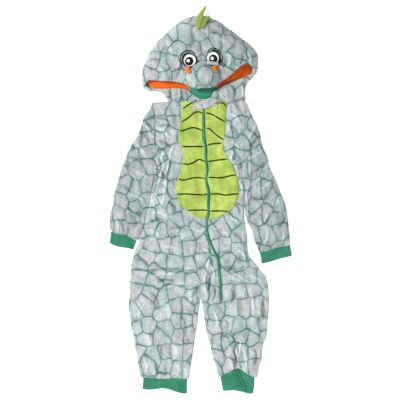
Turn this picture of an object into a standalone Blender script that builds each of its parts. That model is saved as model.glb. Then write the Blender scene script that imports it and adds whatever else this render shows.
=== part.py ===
"""A child's hooded fleece jumpsuit, laid on its back with its front facing up.

Tables hold real sizes in millimetres, seen from above: +X is the wearer's left, +Y points to the head.
The cloth is a wall of even thickness through sections. Every layer rests on the one below it, and pieces
that are sewn to each other end a seam's width apart.
"""

import math

import bmesh
import bpy
import numpy as np
from mathutils import Vector
from mathutils.bvhtree import BVHTree

MM = 0.001
SEAM = 0.3  # gap between two pieces that are sewn together
SLOPED_SEAM = 0.5  # the same where the two edges slope towards each other
FLEECE = 2.6  # plush fleece of the fronts, sleeves and hood
BACK_WALL = 2.5  # the same fleece, pressed flat under the garment
JERSEY = 1.6  # lining, facing and belly panels
FELT = 2.0
RIB = 2.2  # knitted cuffs
LEVEL = 8.4  # top of the front cloth where it lies flat
LOWEST = 5.7  # top of the front cloth at the bottom of a deep trough
EDGE = 4.6  # where the rolled edge of a front ends, on the back
ROLL = 7.0  # how far in the cloth rolls over at an edge
ROLL_STEPS = (0.0, 0.6, 2.2, ROLL)
ZIP_HALF = 3.0  # from the zip's middle to the cut edge of a front
SEAM_HALF = 0.2  # the same below the zip, where the fronts are sewn together
ZIP_END = -300.0  # level at which the zip ends
ZIP_RISE = 1.2  # of the zip over the edges of the fronts
CENTRE_BACK = 9.0  # x of the centre-back seam at the nape
NAPE = 297.0  # level at which that seam begins
OVERHEAD = 300.0  # well above the whole garment


def table(names, *rows):
    """A dictionary of columns, one for each name."""
    values = np.array(rows, float)
    return {name: values[:, i] for i, name in enumerate(names.split())}


# The side edge of each front, the edge of the belly panel (below it, a line towards the crotch) and the
# zip, from the neck to the ankle. A row is one level of the garment.
zip_line = table(
    "x y",
    (13.5, 297.5),
    (13.0, 268.0),
    (12.5, 234.0),
    (12.0, 201.0),
    (14.5, 165.0),
    (17.0, 132.0),
    (19.0, 102.0),
    (21.0, 66.0),
    (24.0, 33.0),
    (25.0, -3.0),
    (24.0, -33.0),
    (22.0, -58.5),
    (21.5, -93.0),
    (26.5, -120.0),
    (37.5, -147.0),
    (52.5, -174.0),
    (59.0, -206.0),
    (60.5, -240.0),
    (61.5, -270.0),
    (62.5, -296.0),
    (66.0, -330.0),
    (76.0, -366.0),
    (86.5, -399.0),
    (95.0, -432.0),
    (102.0, -465.0),
    (107.5, -486.0),
    (108.5, -501.0),
)
right_front = table(
    "side_x side_y panel_x panel_y strip_x strip_y",
    (-142.5, 292.5, -52.5, 295.5, -52.5, 295.5),
    (-141.5, 267.0, -54.0, 270.0, -54.0, 270.0),
    (-140.4, 235.5, -55.0, 236.0, -55.0, 236.0),
    (-139.1, 201.0, -65.5, 204.0, -65.5, 204.0),
    (-137.8, 165.0, -61.0, 168.0, -61.0, 168.0),
    (-136.6, 132.0, -52.5, 135.0, -52.5, 135.0),
    (-135.5, 103.5, -55.0, 105.0, -55.0, 105.0),
    (-138.0, 69.0, -64.0, 69.0, -64.0, 69.0),
    (-142.0, 36.0, -73.0, 36.0, -73.0, 36.0),
    (-147.5, 6.0, -68.5, 4.5, -68.5, 4.5),
    (-152.5, -16.5, -56.0, -18.0, -56.0, -18.0),
    (-157.0, -37.5, -37.5, -34.0, -37.5, -34.0),
    (-165.0, -72.0, -31.5, -75.0, -31.5, -75.0),
    (-174.0, -105.0, -25.5, -111.0, -25.5, -111.0),
    (-186.0, -135.0, -19.5, -144.0, -19.5, -144.0),
    (-199.0, -162.0, -14.0, -174.0, -14.0, -174.0),
    (-207.0, -195.0, -8.5, -207.0, -8.5, -207.0),
    (-210.5, -231.0, -3.0, -240.0, -3.0, -240.0),
    (-212.5, -264.0, 1.0, -270.0, 1.0, -270.0),
    (-213.0, -291.0, 2.0, -291.0, 2.0, -291.0),
    (-212.5, -330.0, -4.0, -330.0, 8.0, -330.0),
    (-208.5, -366.0, -8.0, -366.0, 14.0, -366.0),
    (-202.0, -399.0, -13.0, -399.0, 20.0, -399.0),
    (-195.0, -432.0, -17.5, -432.0, 27.5, -432.0),
    (-190.5, -465.0, -22.0, -465.0, 37.0, -465.0),
    (-186.0, -498.0, -26.5, -498.0, 47.0, -498.0),
    (-181.0, -529.5, -31.5, -534.0, 54.0, -531.0),
)
left_front = table(
    "panel_x panel_y side_x side_y",
    (82.5, 296.5, 139.0, 292.5),
    (77.5, 268.5, 136.9, 267.0),
    (76.0, 236.0, 134.3, 235.5),
    (76.5, 204.0, 131.5, 201.0),
    (71.0, 165.0, 128.5, 165.0),
    (81.5, 135.0, 125.8, 132.0),
    (97.5, 103.5, 123.5, 103.5),
    (112.5, 70.5, 128.5, 69.0),
    (117.0, 36.0, 131.5, 36.0),
    (113.0, 1.5, 132.0, 4.5),
    (103.0, -18.0, 132.5, -16.5),
    (86.0, -37.0, 133.0, -37.5),
    (87.0, -75.0, 135.5, -72.0),
    (91.5, -111.0, 139.0, -108.0),
    (97.5, -144.0, 142.0, -141.0),
    (108.0, -174.0, 146.5, -171.0),
    (118.5, -204.0, 172.5, -199.5),
    (127.5, -237.0, 195.5, -229.5),
    (132.0, -267.0, 203.0, -262.5),
    (135.0, -291.0, 206.5, -291.0),
    (138.0, -330.0, 207.5, -330.0),
    (141.0, -366.0, 204.5, -366.0),
    (142.5, -399.0, 200.0, -399.0),
    (142.5, -432.0, 191.5, -432.0),
    (142.0, -465.0, 185.0, -465.0),
    (141.5, -493.5, 177.5, -498.0),
    (141.0, -517.5, 173.0, -531.0),
)
UNDERARM_ROW = 6  # the sleeve is set in from the first row down to this one
PANEL_END_ROW = 11  # the belly panel's rounded lower edge
CROTCH_ROW = 19  # the legs part here
STEPS = 2  # sections between two rows of the tables
TOP_ROLL = (0.0, 0.025, 0.09, 0.28)  # sections near the first row, where the shoulder rolls over

# Sleeves, from the armhole to the wrist: the outer fold, and the level of the inner fold with its
# distance from the torso's side.
right_sleeve = table(
    "outer_x outer_y inner_y gap",
    (-142.9, 292.3, 103.5, 0.4),
    (-150.0, 270.0, 84.0, 0.9),
    (-163.5, 249.0, 62.0, 1.0),
    (-174.0, 226.0, 40.0, 1.0),
    (-187.0, 198.0, 19.0, 1.0),
    (-196.5, 174.0, 0.0, 1.0),
    (-213.0, 154.5, -18.0, 1.0),
    (-226.0, 126.0, -36.0, 1.0),
    (-238.5, 90.0, -55.0, 1.0),
    (-249.0, 51.0, -74.0, 1.2),
    (-258.5, 6.0, -93.0, 1.5),
    (-267.5, -42.0, -108.0, 2.0),
    (-274.0, -88.5, -119.0, 3.0),
)
left_sleeve = table(
    "outer_x outer_y inner_y gap",
    (139.4, 292.3, 103.5, 0.4),
    (149.5, 267.0, 84.0, 0.9),
    (162.0, 240.0, 62.0, 1.0),
    (171.0, 220.0, 40.0, 1.0),
    (180.0, 198.0, 19.0, 1.0),
    (187.0, 171.0, 0.0, 1.0),
    (194.0, 141.0, -20.0, 1.2),
    (205.5, 111.0, -40.0, 2.0),
    (219.5, 78.0, -60.0, 5.0),
    (235.0, 42.0, -80.0, 12.0),
    (248.0, 4.5, -100.0, 19.0),
    (258.0, -34.5, -119.0, 24.0),
    (266.5, -75.0, -137.0, 28.0),
    (272.0, -130.5, -154.5, 30.0),
)

# The hood halves, from the throat round the mouth's corner to the centre seam. Each station runs from
# the mouth's edge (with its height) over the crown to the outer fold; there it turns under, as far as
# the centre-back seam at back_y. A station with no back_y is sewn to the neck.
right_hood = table(
    "mouth_x mouth_y rim outer_x outer_y crown roll back_y",
    (-13.5, 313.5, 8.6, 10.5, math.nan, 8.4, 7, math.nan),
    (-28.0, 324.6, 9.0, -12.0, math.nan, 9.5, 7, math.nan),
    (-44.0, 334.0, 9.0, -39.0, math.nan, 10.5, 7, math.nan),
    (-67.5, 336.0, 9.2, -69.0, math.nan, 10.5, 7, math.nan),
    (-91.0, 335.4, 9.2, -97.5, math.nan, 9.5, 7, 298.0),
    (-114.0, 333.3, 9.2, -109.0, 322.5, 9.2, 7, 311.0),
    (-133.5, 334.0, 9.2, -133.5, 326.0, 9.2, 7, 322.0),
    (-151.5, 335.4, 9.5, -155.0, 328.0, 9.5, 7, 334.0),
    (-160.0, 341.0, 10.5, -168.5, 336.5, 10.5, 8, 346.0),
    (-162.6, 348.6, 12.0, -174.5, 349.5, 12.0, 9, 358.0),
    (-158.7, 355.8, 13.5, -175.0, 369.0, 15.0, 16, 372.0),
    (-147.0, 358.8, 15.0, -173.0, 390.0, 20.0, 26, 390.0),
    (-126.6, 356.4, 17.0, -165.6, 414.0, 25.0, 36, 410.0),
    (-105.0, 354.9, 19.0, -153.6, 441.0, 29.0, 46, 432.0),
    (-87.0, 354.3, 21.0, -134.0, 469.5, 31.0, 54, 456.0),
    (-67.5, 352.2, 22.0, -108.0, 497.0, 33.0, 60, 482.0),
    (-48.0, 345.0, 23.0, -76.5, 522.6, 34.0, 62, 508.0),
    (-21.0, 337.2, 24.0, -42.0, 546.0, 35.0, 64, 526.0),
    (9.6, 336.0, 24.0, 0.0, 556.2, 35.0, 64, 541.0),
)
left_hood = table(
    "mouth_x mouth_y rim outer_x outer_y crown roll back_y",
    (38.5, 325.5, 8.6, 27.5, math.nan, 8.4, 7, math.nan),
    (51.0, 331.2, 9.0, 62.0, math.nan, 9.5, 7, math.nan),
    (72.0, 343.8, 9.2, 100.0, math.nan, 10.5, 7, math.nan),
    (96.0, 357.0, 9.5, 135.0, math.nan, 10.0, 7, 298.0),
    (121.5, 362.4, 9.8, 135.0, 336.0, 10.5, 7, 318.0),
    (140.7, 368.4, 10.5, 143.0, 355.5, 10.5, 7, 338.0),
    (152.4, 374.0, 12.0, 158.0, 366.5, 12.0, 7, 352.0),
    (158.4, 385.8, 14.5, 168.5, 379.4, 14.5, 9, 366.0),
    (156.0, 398.0, 18.0, 174.0, 393.6, 18.0, 13, 380.0),
    (148.5, 407.4, 22.0, 178.0, 409.5, 22.5, 20, 396.0),
    (136.5, 410.0, 25.0, 179.0, 424.5, 27.0, 28, 412.0),
    (123.6, 402.6, 27.0, 173.4, 441.0, 30.0, 38, 430.0),
    (111.0, 389.0, 27.5, 157.5, 459.0, 32.0, 46, 448.0),
    (96.0, 375.6, 27.0, 136.5, 475.5, 33.0, 52, 466.0),
    (79.5, 364.5, 26.0, 114.0, 492.0, 34.0, 58, 484.0),
    (62.0, 354.0, 25.0, 90.0, 511.0, 34.0, 60, 502.0),
    (45.0, 338.4, 24.5, 61.5, 531.6, 35.0, 62, 518.0),
    (27.0, 334.2, 24.0, 31.5, 549.0, 35.0, 64, 530.0),
    (9.6, 336.0, 24.0, 0.0, 556.2, 35.0, 64, 541.0),
)
HOOD_EDGE = 4.2  # height of the outer fold's turning point
HOOD_ROLL = (0.0, 0.05, 0.2, 0.5)  # parts of the roll, from the outer fold inwards
HOOD_FLAT = 4  # sections from the roll to the mouth's edge
HOOD_UNDER = ((1.2, 1.25), (4.2, 0.0))  # distance in and height of the fold's lower half
HOOD_SEAM_HALF = 0.7  # from the centre seam to each half, whose walls lean together inside it
HOOD_BACK = 3  # sections from there to the centre-back seam

# The largest folds of everything that faces up: a ridge (height over 0) or a trough between two points.
folds = table(
    "x0 y0 x1 y1 width height",
    (-118, -226, 12, -200, 15, 6.5),
    (-117, -244, 18, -222, 11, -2.6),
    (-30, -186, 34, -190, 12, 4.5),
    (58, -192, 128, -212, 13, 6.0),
    (70, -214, 150, -232, 11, -2.4),
    (20, -214, 6, -262, 9, 6.5),
    (34, -160, 22, -228, 8, -2.4),
    (42, -238, 24, -292, 10, 5.0),
    (-22, -232, -12, -300, 11, 4.0),
    (-114, 110, -122, 66, 10, 7.0),
    (-98, 92, -112, 30, 9, -2.5),
    (-100, 62, -84, -14, 13, 5.5),
    (-112, 10, -78, -52, 12, 4.5),
    (-126, 150, -118, 110, 10, 5.5),
    (-160, -64, -66, -78, 12, 4.5),
    (-140, -92, -58, -100, 10, -2.4),
    (112, 128, 117, 88, 9, 5.5),
    (98, 152, 106, 112, 9, -2.4),
    (116, 18, 120, -66, 11, 4.5),
    (98, -70, 118, -150, 11, 4.0),
    (40, -100, 74, -150, 11, 3.5),
    (-96, 262, -80, 214, 12, 5.0),
    (-122, 270, -112, 206, 11, -2.2),
    (112, 266, 98, 212, 11, 5.0),
    (-146, -300, -136, -402, 15, 4.5),
    (-72, -330, -62, -468, 14, 4.5),
    (-176, -352, -168, -470, 12, -2.4),
    (-110, -408, -92, -516, 13, 4.0),
    (-46, -440, -52, -528, 10, 4.0),
    (112, -300, 118, -396, 14, 4.5),
    (168, -296, 172, -400, 14, 4.5),
    (92, -380, 112, -486, 10, 5.5),
    (156, -426, 148, -520, 11, 4.5),
    (66, -410, 74, -500, 9, 4.0),
    (-176, 196, -146, 142, 13, 5.5),
    (-206, 128, -160, 92, 12, 5.5),
    (-196, 96, -156, 58, 9, -2.4),
    (-236, 62, -178, 18, 13, 5.0),
    (-250, -6, -196, -34, 12, 4.5),
    (-226, -50, -214, -100, 11, 4.5),
    (158, 214, 144, 152, 12, 5.5),
    (180, 142, 150, 92, 12, 5.5),
    (176, 96, 146, 46, 9, -2.4),
    (216, 52, 172, 6, 13, 5.0),
    (246, -20, 196, -54, 12, 5.0),
    (236, -76, 222, -128, 11, 4.5),
    (-84, 330, -76, 300, 8, 3.0),
    (-56, 330, -52, 300, 8, 3.5),
    (-24, 320, -20, 300, 7, 2.5),
    (60, 326, 66, 300, 8, 3.0),
    (84, 340, 92, 302, 8, 3.5),
    (112, 350, 118, 306, 8, 3.0),
    (98, 442, 96, 404, 6, 4.5),
    (112, 440, 114, 404, 6, 4.5),
    (105, 444, 105, 402, 5, -3.0),
    (-118, 460, -96, 380, 16, 3.5),
    (60, 500, 88, 440, 16, 3.5),
    (-46, 530, -30, 470, 12, 3.0),
)
SEAM_DIP = 1.5  # the cloth is drawn down along a seam
SEAM_DIP_WIDTH = 9.0


def smooth_columns(columns, steps):
    """The table's columns with sections added between its rows, on a smooth curve through them."""
    out = {}
    for name, values in columns.items():
        padded = np.concatenate([[2 * values[0] - values[1]], values, [2 * values[-1] - values[-2]]])
        found = []
        for i in range(1, len(values)):
            before, a, b, after = padded[i - 1 : i + 3]
            for t in [*(TOP_ROLL if i == 1 else ()), *(k / steps for k in range(i == 1, steps))]:
                found.append(
                    a
                    + 0.5 * t * (b - before)
                    + t * t * (before - 2.5 * a + 2 * b - 0.5 * after)
                    + t ** 3 * (1.5 * (a - b) + 0.5 * (after - before))
                )
        out[name] = np.array(found + [values[-1]])
    return out


def points_of(columns, name, rows=slice(None)):
    return np.stack([columns[name + "_x"][rows], columns[name + "_y"][rows]], axis=1)


zip_rows = smooth_columns(zip_line, STEPS)
zip_rows["half"] = np.where(zip_rows["y"] > ZIP_END, ZIP_HALF, SEAM_HALF)
right_rows = smooth_columns(right_front, STEPS)
left_rows = smooth_columns(left_front, STEPS)
underarm, panel_end, crotch = (
    STEPS * row + len(TOP_ROLL) - 1 for row in (UNDERARM_ROW, PANEL_END_ROW, CROTCH_ROW)
)
for axis in ("_x", "_y"):
    right_rows["strip" + axis][: crotch + 1] = right_rows["panel" + axis][: crotch + 1]

right_side = points_of(right_rows, "side")
left_side = points_of(left_rows, "side")
zip_points = np.stack([zip_rows["x"], zip_rows["y"]], axis=1)
neck = np.array([right_side[0], points_of(right_rows, "panel")[0], zip_points[0],
                 points_of(left_rows, "panel")[0], left_side[0]])
free_edges = (
    right_side[underarm:],
    left_side[underarm:],
    points_of(right_rows, "panel", slice(crotch + 1, None)),
    points_of(right_rows, "strip", slice(crotch + 1, None)),
    np.array([right_side[0], [right_hood["outer_x"][4], neck[0][1] + 1.5]]),
)
seams = (right_side[: underarm + 1], left_side[: underarm + 1], neck, zip_points[crotch + STEPS :])


def distance_to(line, x, y):
    """How far each point (x, y) is from a line through some points."""
    best = np.full(np.shape(x), np.inf)
    for (ax, ay), (bx, by) in zip(line, line[1:]):
        dx, dy = bx - ax, by - ay
        t = np.clip(((x - ax) * dx + (y - ay) * dy) / (dx * dx + dy * dy), 0, 1)
        best = np.minimum(best, np.hypot(x - ax - t * dx, y - ay - t * dy))
    return best


def fold_height(x, y):
    """The sum of the folds at (x, y): each fades out to both sides and towards its two ends."""
    total = np.zeros(np.shape(x))
    for x0, y0, x1, y1, width, height in zip(*folds.values()):
        dx, dy = x1 - x0, y1 - y0
        length = math.hypot(dx, dy)
        along = ((x - x0) * dx + (y - y0) * dy) / length ** 2
        across = ((x - x0) * dy - (y - y0) * dx) / length
        end = np.clip(np.abs(along - 0.5) - 0.3, 0, None) * length / width
        total += height * np.exp(-((across / width) ** 2) - end ** 2)
    return total


def front_height(x, y):
    """Height of the upper side of the fronts and sleeves before their edges roll over."""
    z = LEVEL + fold_height(x, y)
    for seam in seams:
        z -= SEAM_DIP * np.exp(-((distance_to(seam, x, y) / SEAM_DIP_WIDTH) ** 2))
    return np.maximum(z, LOWEST)


def rolled(z, distance, edge, roll):
    """The height z brought down to edge along a quarter of an ellipse as the distance goes to nought."""
    t = np.clip(distance / roll, 0, 1)
    return edge + (z - edge) * np.sqrt(1 - (1 - t) ** 2)


def front_surface(plan):
    """Points in the plan view, each lifted to the upper side of a front."""
    x, y = plan[..., 0], plan[..., 1]
    distance = np.min([distance_to(edge, x, y) for edge in free_edges], axis=0)
    return np.dstack([x, y, rolled(front_height(x, y), distance, EDGE, ROLL)])


def spread(start, end, middle, rolled_start, rolled_end):
    """Points across one row, from start to end: close together where the cloth rolls over an edge.

    middle is the number of even sections between, and rolled_start and rolled_end say, from 0 to 1,
    how far the sections at that end have drawn together."""
    length = np.linalg.norm(end - start)
    steps = len(ROLL_STEPS) - 1
    total = middle + steps * (rolled_start is not None) + steps * (rolled_end is not None)
    even = np.linspace(0, 1, total + 1)
    drawn = even.copy()
    low = high = 0.0
    if rolled_start is not None:
        low = ROLL / length
        drawn[: steps + 1] = np.array(ROLL_STEPS) / length
    if rolled_end is not None:
        high = ROLL / length
        drawn[total - steps :] = 1 - np.array(ROLL_STEPS[::-1]) / length
    first = steps if rolled_start is not None else 0
    drawn[first : first + middle + 1] = np.linspace(low, 1 - high, middle + 1)
    weight_start = rolled_start if rolled_start is not None else 1.0
    weight_end = rolled_end if rolled_end is not None else 1.0
    weight = weight_start + (weight_end - weight_start) * even
    t = even + (drawn - even) * weight
    return start + (end - start) * t[:, None]


def ease(row, first, last):
    return float(np.clip((row - first) / (last - first), 0, 1))


def belly_rows(edge, middle_line, half, sections, side, rolls):
    """Rows from the belly panel's edge to the zip, bowed down as the panel's rounded end is."""
    rows = []
    for i, (start, end) in enumerate(zip(edge, middle_line)):
        stop = end + np.array([side * half[i], 0.0])
        row = spread(start, stop, sections, rolls[i] if rolls is not None else None, None)
        t = (row[:, 0] - start[0]) / (stop[0] - start[0])
        bow = ease(i, 3, 10) if i <= panel_end else 1 - ease(i, panel_end, panel_end + 6)
        row[:, 1] = start[1] + (stop[1] - start[1]) * ((1 - bow) * t + bow * (1 - (1 - t) ** 2))
        rows.append(row)
    return np.array(rows)


def right_front_patches():
    """The torso and right leg, and beside it the strip up to the zip. They share a column to the crotch."""
    legs = [ease(i, crotch - 8, crotch) for i in range(len(right_side))]
    panel = points_of(right_rows, "panel")
    leg = np.array([spread(a, b, 4, 1.0, legs[i]) for i, (a, b) in enumerate(zip(right_side, panel))])
    strip = belly_rows(points_of(right_rows, "strip"), zip_points, zip_rows["half"], 3, -1, legs)
    return leg, strip


def left_front_patches():
    panel = points_of(left_rows, "panel")
    belly = belly_rows(panel, zip_points, zip_rows["half"], 5, 1, None)
    side = np.array([spread(a, b, 3, 1.0, None) for a, b in zip(left_side, panel)])
    return side, belly


SHARP_ANGLE = math.radians(50)
materials = {}
MATERIAL_LOOKS = {
    "fleece": ((0.50, 0.58, 0.56), 0.95),
    "belly": ((0.42, 0.62, 0.10), 0.9),
    "rib": ((0.03, 0.30, 0.15), 0.9),
    "lining": ((0.85, 0.18, 0.02), 0.85),
    "felt": ((0.35, 0.52, 0.06), 0.95),
    "zip": ((0.03, 0.25, 0.12), 0.5),
    "plastic": ((0.9, 0.9, 0.88), 0.35),
    "eye": ((0.92, 0.92, 0.9), 0.7),
}


def material(name):
    if name not in materials:
        colour, roughness = MATERIAL_LOOKS[name]
        made = bpy.data.materials.new(name)
        made.use_nodes = True
        shader = made.node_tree.nodes["Principled BSDF"]
        shader.inputs["Base Color"].default_value = (*colour, 1.0)
        shader.inputs["Roughness"].default_value = roughness
        materials[name] = made
    return materials[name]


def add_object(name, mesh_data, finish):
    mesh = bpy.data.meshes.new(name)
    mesh_data.to_mesh(mesh)
    mesh_data.free()
    made = bpy.data.objects.new(name, mesh)
    mesh.materials.append(material(finish))
    mesh.shade_smooth()
    mesh.set_sharp_from_angle(angle=SHARP_ANGLE)
    garment.objects.link(made)
    return made


def patch_mesh(patches, upwards=True):
    """One open surface from grids of points in millimetres, joined where they share points."""
    made = bmesh.new()
    for grid in patches:
        rows, cols = grid.shape[:2]
        corners = [[made.verts.new(Vector(grid[i, j]) * MM) for j in range(cols)] for i in range(rows)]
        for i in range(rows - 1):
            for j in range(cols - 1):
                made.faces.new((corners[i][j], corners[i + 1][j], corners[i + 1][j + 1], corners[i][j + 1]))
    bmesh.ops.remove_doubles(made, verts=made.verts, dist=0.02 * MM)
    bmesh.ops.recalc_face_normals(made, faces=made.faces)
    made.faces.ensure_lookup_table()
    tallest = max(made.faces, key=lambda face: face.calc_center_median().z)
    if (tallest.normal.z > 0) != upwards:
        bmesh.ops.reverse_faces(made, faces=made.faces)
    return made


def cloth(name, patches, thickness, finish, out=0.0, upwards=True):
    """A wall of cloth under the surface that the patches give, after moving it out along its normals."""
    surface = patch_mesh(patches, upwards)
    if out:
        surface.normal_update()
        for vert, normal in [(v, v.normal.copy()) for v in surface.verts]:
            vert.co += normal * out * MM
    made = add_object(name, surface, finish)
    wall = made.modifiers.new("wall", "SOLIDIFY")
    wall.thickness = thickness * MM
    wall.offset = -1.0
    return made


def ring_wall(name, outer, inner, finish):
    """A tube with an even wall: rings of outer points and rings of inner points, closed at both ends."""
    rings = list(outer) + list(inner[::-1])
    count = len(rings[0])
    made = bmesh.new()
    corners = [[made.verts.new(Vector(point) * MM) for point in ring] for ring in rings]
    for i in range(len(rings)):
        after = corners[(i + 1) % len(rings)]
        for j in range(count):
            k = (j + 1) % count
            made.faces.new((corners[i][j], corners[i][k], after[k], after[j]))
    bmesh.ops.recalc_face_normals(made, faces=made.faces)
    return add_object(name, made, finish)


def tube_profile(width, height, inset, top_sections, bottom_sections):
    """A flattened tube's section, as parts of the way across and heights: top, end, underside, end."""
    radius = height / 2 - inset
    low, high = inset, height - inset
    diagonal = radius * (1 - math.sqrt(0.5))
    left, right = inset + radius, width - inset - radius
    across = list(np.linspace(left, right, top_sections + 1))
    heights = [high] * len(across)
    across += [width - inset - diagonal, width - inset, width - inset - diagonal]
    heights += [high - diagonal, height / 2, low + diagonal]
    across += list(np.linspace(right, left, bottom_sections + 1))
    heights += [low] * (bottom_sections + 1)
    across += [inset + diagonal, inset, inset + diagonal]
    heights += [low + diagonal, height / 2, high - diagonal]
    return np.array(across) / width, np.array(heights)


def side_at(side, y):
    return np.interp(y, side[::-1, 1], side[::-1, 0])


def sleeve(name, columns, side, out):
    """A sleeve folded flat: rings between its outer fold and its inner fold beside the torso."""
    top_sections, bottom_sections = 7, 3
    outer_rings, inner_rings = [], []
    inner_x = side_at(side, columns["inner_y"]) + out * columns["gap"]
    folded = list(zip(columns["outer_x"], columns["outer_y"], inner_x, columns["inner_y"]))
    for ax, ay, bx, by in folded:
        for inset, rings in ((0.0, outer_rings), (FLEECE, inner_rings)):
            width = math.hypot(bx - ax, by - ay)
            across, z = tube_profile(width, LEVEL, inset, top_sections, bottom_sections)
            x = ax + (bx - ax) * across
            y = ay + (by - ay) * across
            tall = z > LEVEL / 2
            rise = front_height(x, y) - LEVEL
            z = np.where(tall, z + rise * np.clip((z - LEVEL / 2) / (LEVEL / 2 - inset), 0, 1), z)
            rings.append(np.stack([x, y, z], axis=1))
    ring_wall(name, outer_rings, inner_rings, "fleece")
    return np.array([folded[-1][:2], folded[-1][2:]])


CUFF_HEIGHT = 7.4
CUFF_RIBS = 13
CUFF_RIB_HEIGHT = 0.5


def cuff(name, hem, end, insets, front_hem=None):
    """A knitted cuff: a flat tube from the hem to its own end, ribbed on the side that faces up.

    hem and end are two points each. front_hem, where given, is the line that the upper side follows."""
    outer_rings, inner_rings = [], []
    along = (hem[1] - hem[0]) / np.linalg.norm(hem[1] - hem[0])
    down = (end.mean(axis=0) - hem.mean(axis=0)) / np.linalg.norm(end.mean(axis=0) - hem.mean(axis=0))
    start = np.array([hem[0] + along * insets[0], hem[1] - along * insets[1]]) + down * SLOPED_SEAM
    sections = 2 * CUFF_RIBS
    for part in (0.0, 0.5, 1.0):
        first = start[0] + (end[0] - start[0]) * part
        last = start[1] + (end[1] - start[1]) * part
        for inset, rings in ((0.0, outer_rings), (RIB, inner_rings)):
            width = np.linalg.norm(last - first)
            across, z = tube_profile(width, CUFF_HEIGHT, inset, sections, 3)
            x = first[0] + (last[0] - first[0]) * across
            y = first[1] + (last[1] - first[1]) * across
            upper = z > CUFF_HEIGHT / 2 + 0.01
            if inset == 0.0:
                wave = np.arange(sections + 1) % 2
                z[: sections + 1] += CUFF_RIB_HEIGHT * (wave - 0.5)
            if front_hem is not None:
                level = np.interp(x, front_hem[:, 0], front_hem[:, 1]) - SLOPED_SEAM
                y = np.where(upper, y + (1 - part) * (level - y), y)
            rings.append(np.stack([x, y, z], axis=1))
    ring_wall(name, outer_rings, inner_rings, "rib")


def hood_half(name, columns, side):
    """Half the hood: cloth from the mouth's edge to the outer fold and, turned under, to the back seam."""
    stations, under = [], []
    last_station = len(columns["mouth_x"]) - 1  # along the centre seam
    for station, (mx, my, rim, ox, oy, crown, roll, back_y) in enumerate(zip(*columns.values())):
        sewn = math.isnan(oy)
        if sewn:
            oy = float(np.interp(ox, neck[:, 0], neck[:, 1])) + SLOPED_SEAM
        mouth, outer = np.array([mx, my]), np.array([ox, oy])
        length = np.linalg.norm(mouth - outer)
        roll = min(roll, 0.7 * length)
        distance = np.concatenate([np.array(HOOD_ROLL) * roll, np.linspace(roll, length, HOOD_FLAT + 1)])
        plan = outer + (mouth - outer) * (distance / length)[:, None]
        plan[:, 0] += side * HOOD_SEAM_HALF * (station == last_station)
        t = distance / length
        z = crown + (rim - crown) * np.clip((t - 0.35) / 0.65, 0, 1) ** 1.5
        z = np.maximum(z + fold_height(plan[:, 0], plan[:, 1]), LOWEST)
        if math.isnan(back_y):
            z -= SEAM_DIP * np.exp(-((distance / SEAM_DIP_WIDTH) ** 2))
        else:
            z = rolled(z, distance, HOOD_EDGE, roll)
        stations.append(np.column_stack([plan, z])[::-1])
        if not math.isnan(back_y):
            end = np.array([CENTRE_BACK + side * HOOD_SEAM_HALF, back_y])
            inward = (end - plan[0]) / np.linalg.norm(end - plan[0])
            row = [[*plan[0], HOOD_EDGE]]
            row += [[*(plan[0] + inward * d), height] for d, height in HOOD_UNDER]
            last = np.array(row[-1][:2])
            row += [[*(last + (end - last) * k / HOOD_BACK), 0.0] for k in range(1, HOOD_BACK + 1)]
            under.append(row)
    return np.array(stations), np.array(under)


def back_panel(name, side, inner, rows):
    """Half the back, flat on what the garment lies on."""
    grid = np.array([[*(a + (b - a) * k / 3), 0.0] for a, b in zip(side, inner) for k in range(4)])
    return cloth(name, [grid.reshape(len(side), 4, 3)[rows]], BACK_WALL, "fleece", upwards=False)


def top_of(hosts, x, y, reach):
    """The highest point of the hosts at (x, y) and around it, or None where there is nothing."""
    found = []
    for dx, dy in [(0, 0)] + [(reach * math.cos(a), reach * math.sin(a)) for a in np.arange(8) * math.pi / 4]:
        for tree in hosts:
            hit = tree.ray_cast(Vector((x + dx, y + dy, OVERHEAD)) * MM, Vector((0, 0, -1)))[0]
            if hit is not None:
                found.append(hit.z / MM)
    return max(found) if found else None


def trees_of(*objects):
    graph = bpy.context.evaluated_depsgraph_get()
    return [BVHTree.FromObject(each, graph) for each in objects]


def laid_on(name, plan, hosts, thickness, finish, crown=0.0, reach=3.0, fall_back=None):
    """A piece that lies on others: a grid in the plan view, lifted just clear of what is under it.

    crown swells it in the middle, as a padded piece."""
    rows, cols = plan.shape[:2]
    lower = np.zeros((rows, cols))
    for i in range(rows):
        for j in range(cols):
            top = top_of(hosts, *plan[i, j], reach)
            lower[i, j] = (fall_back if top is None else top) + SEAM
    u = np.linspace(-1, 1, rows)[:, None]
    v = np.linspace(-1, 1, cols)[None, :]
    swell = crown * np.clip((1 - u ** 2) * (1 - v ** 2), 0, 1) ** 0.6
    top_side = np.dstack([plan, lower + thickness + swell])
    under_side = np.dstack([plan, lower])
    return closed_slab(name, top_side, under_side, finish)


def closed_slab(name, top_side, under_side, finish):
    """A closed solid between two grids with the same plan."""
    made = bmesh.new()
    rows, cols = top_side.shape[:2]
    upper = [[made.verts.new(Vector(top_side[i, j]) * MM) for j in range(cols)] for i in range(rows)]
    lower = [[made.verts.new(Vector(under_side[i, j]) * MM) for j in range(cols)] for i in range(rows)]
    for i in range(rows - 1):
        for j in range(cols - 1):
            for grid in (upper, lower):
                made.faces.new((grid[i][j], grid[i + 1][j], grid[i + 1][j + 1], grid[i][j + 1]))
    rim = [(0, j) for j in range(cols)] + [(i, cols - 1) for i in range(1, rows)]
    rim += [(rows - 1, j) for j in range(cols - 2, -1, -1)] + [(i, 0) for i in range(rows - 2, 0, -1)]
    for (a, b), (c, d) in zip(rim, rim[1:] + rim[:1]):
        made.faces.new((upper[a][b], upper[c][d], lower[c][d], lower[a][b]))
    bmesh.ops.remove_doubles(made, verts=made.verts, dist=0.01 * MM)
    bmesh.ops.recalc_face_normals(made, faces=made.faces)
    return add_object(name, made, finish)


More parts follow.
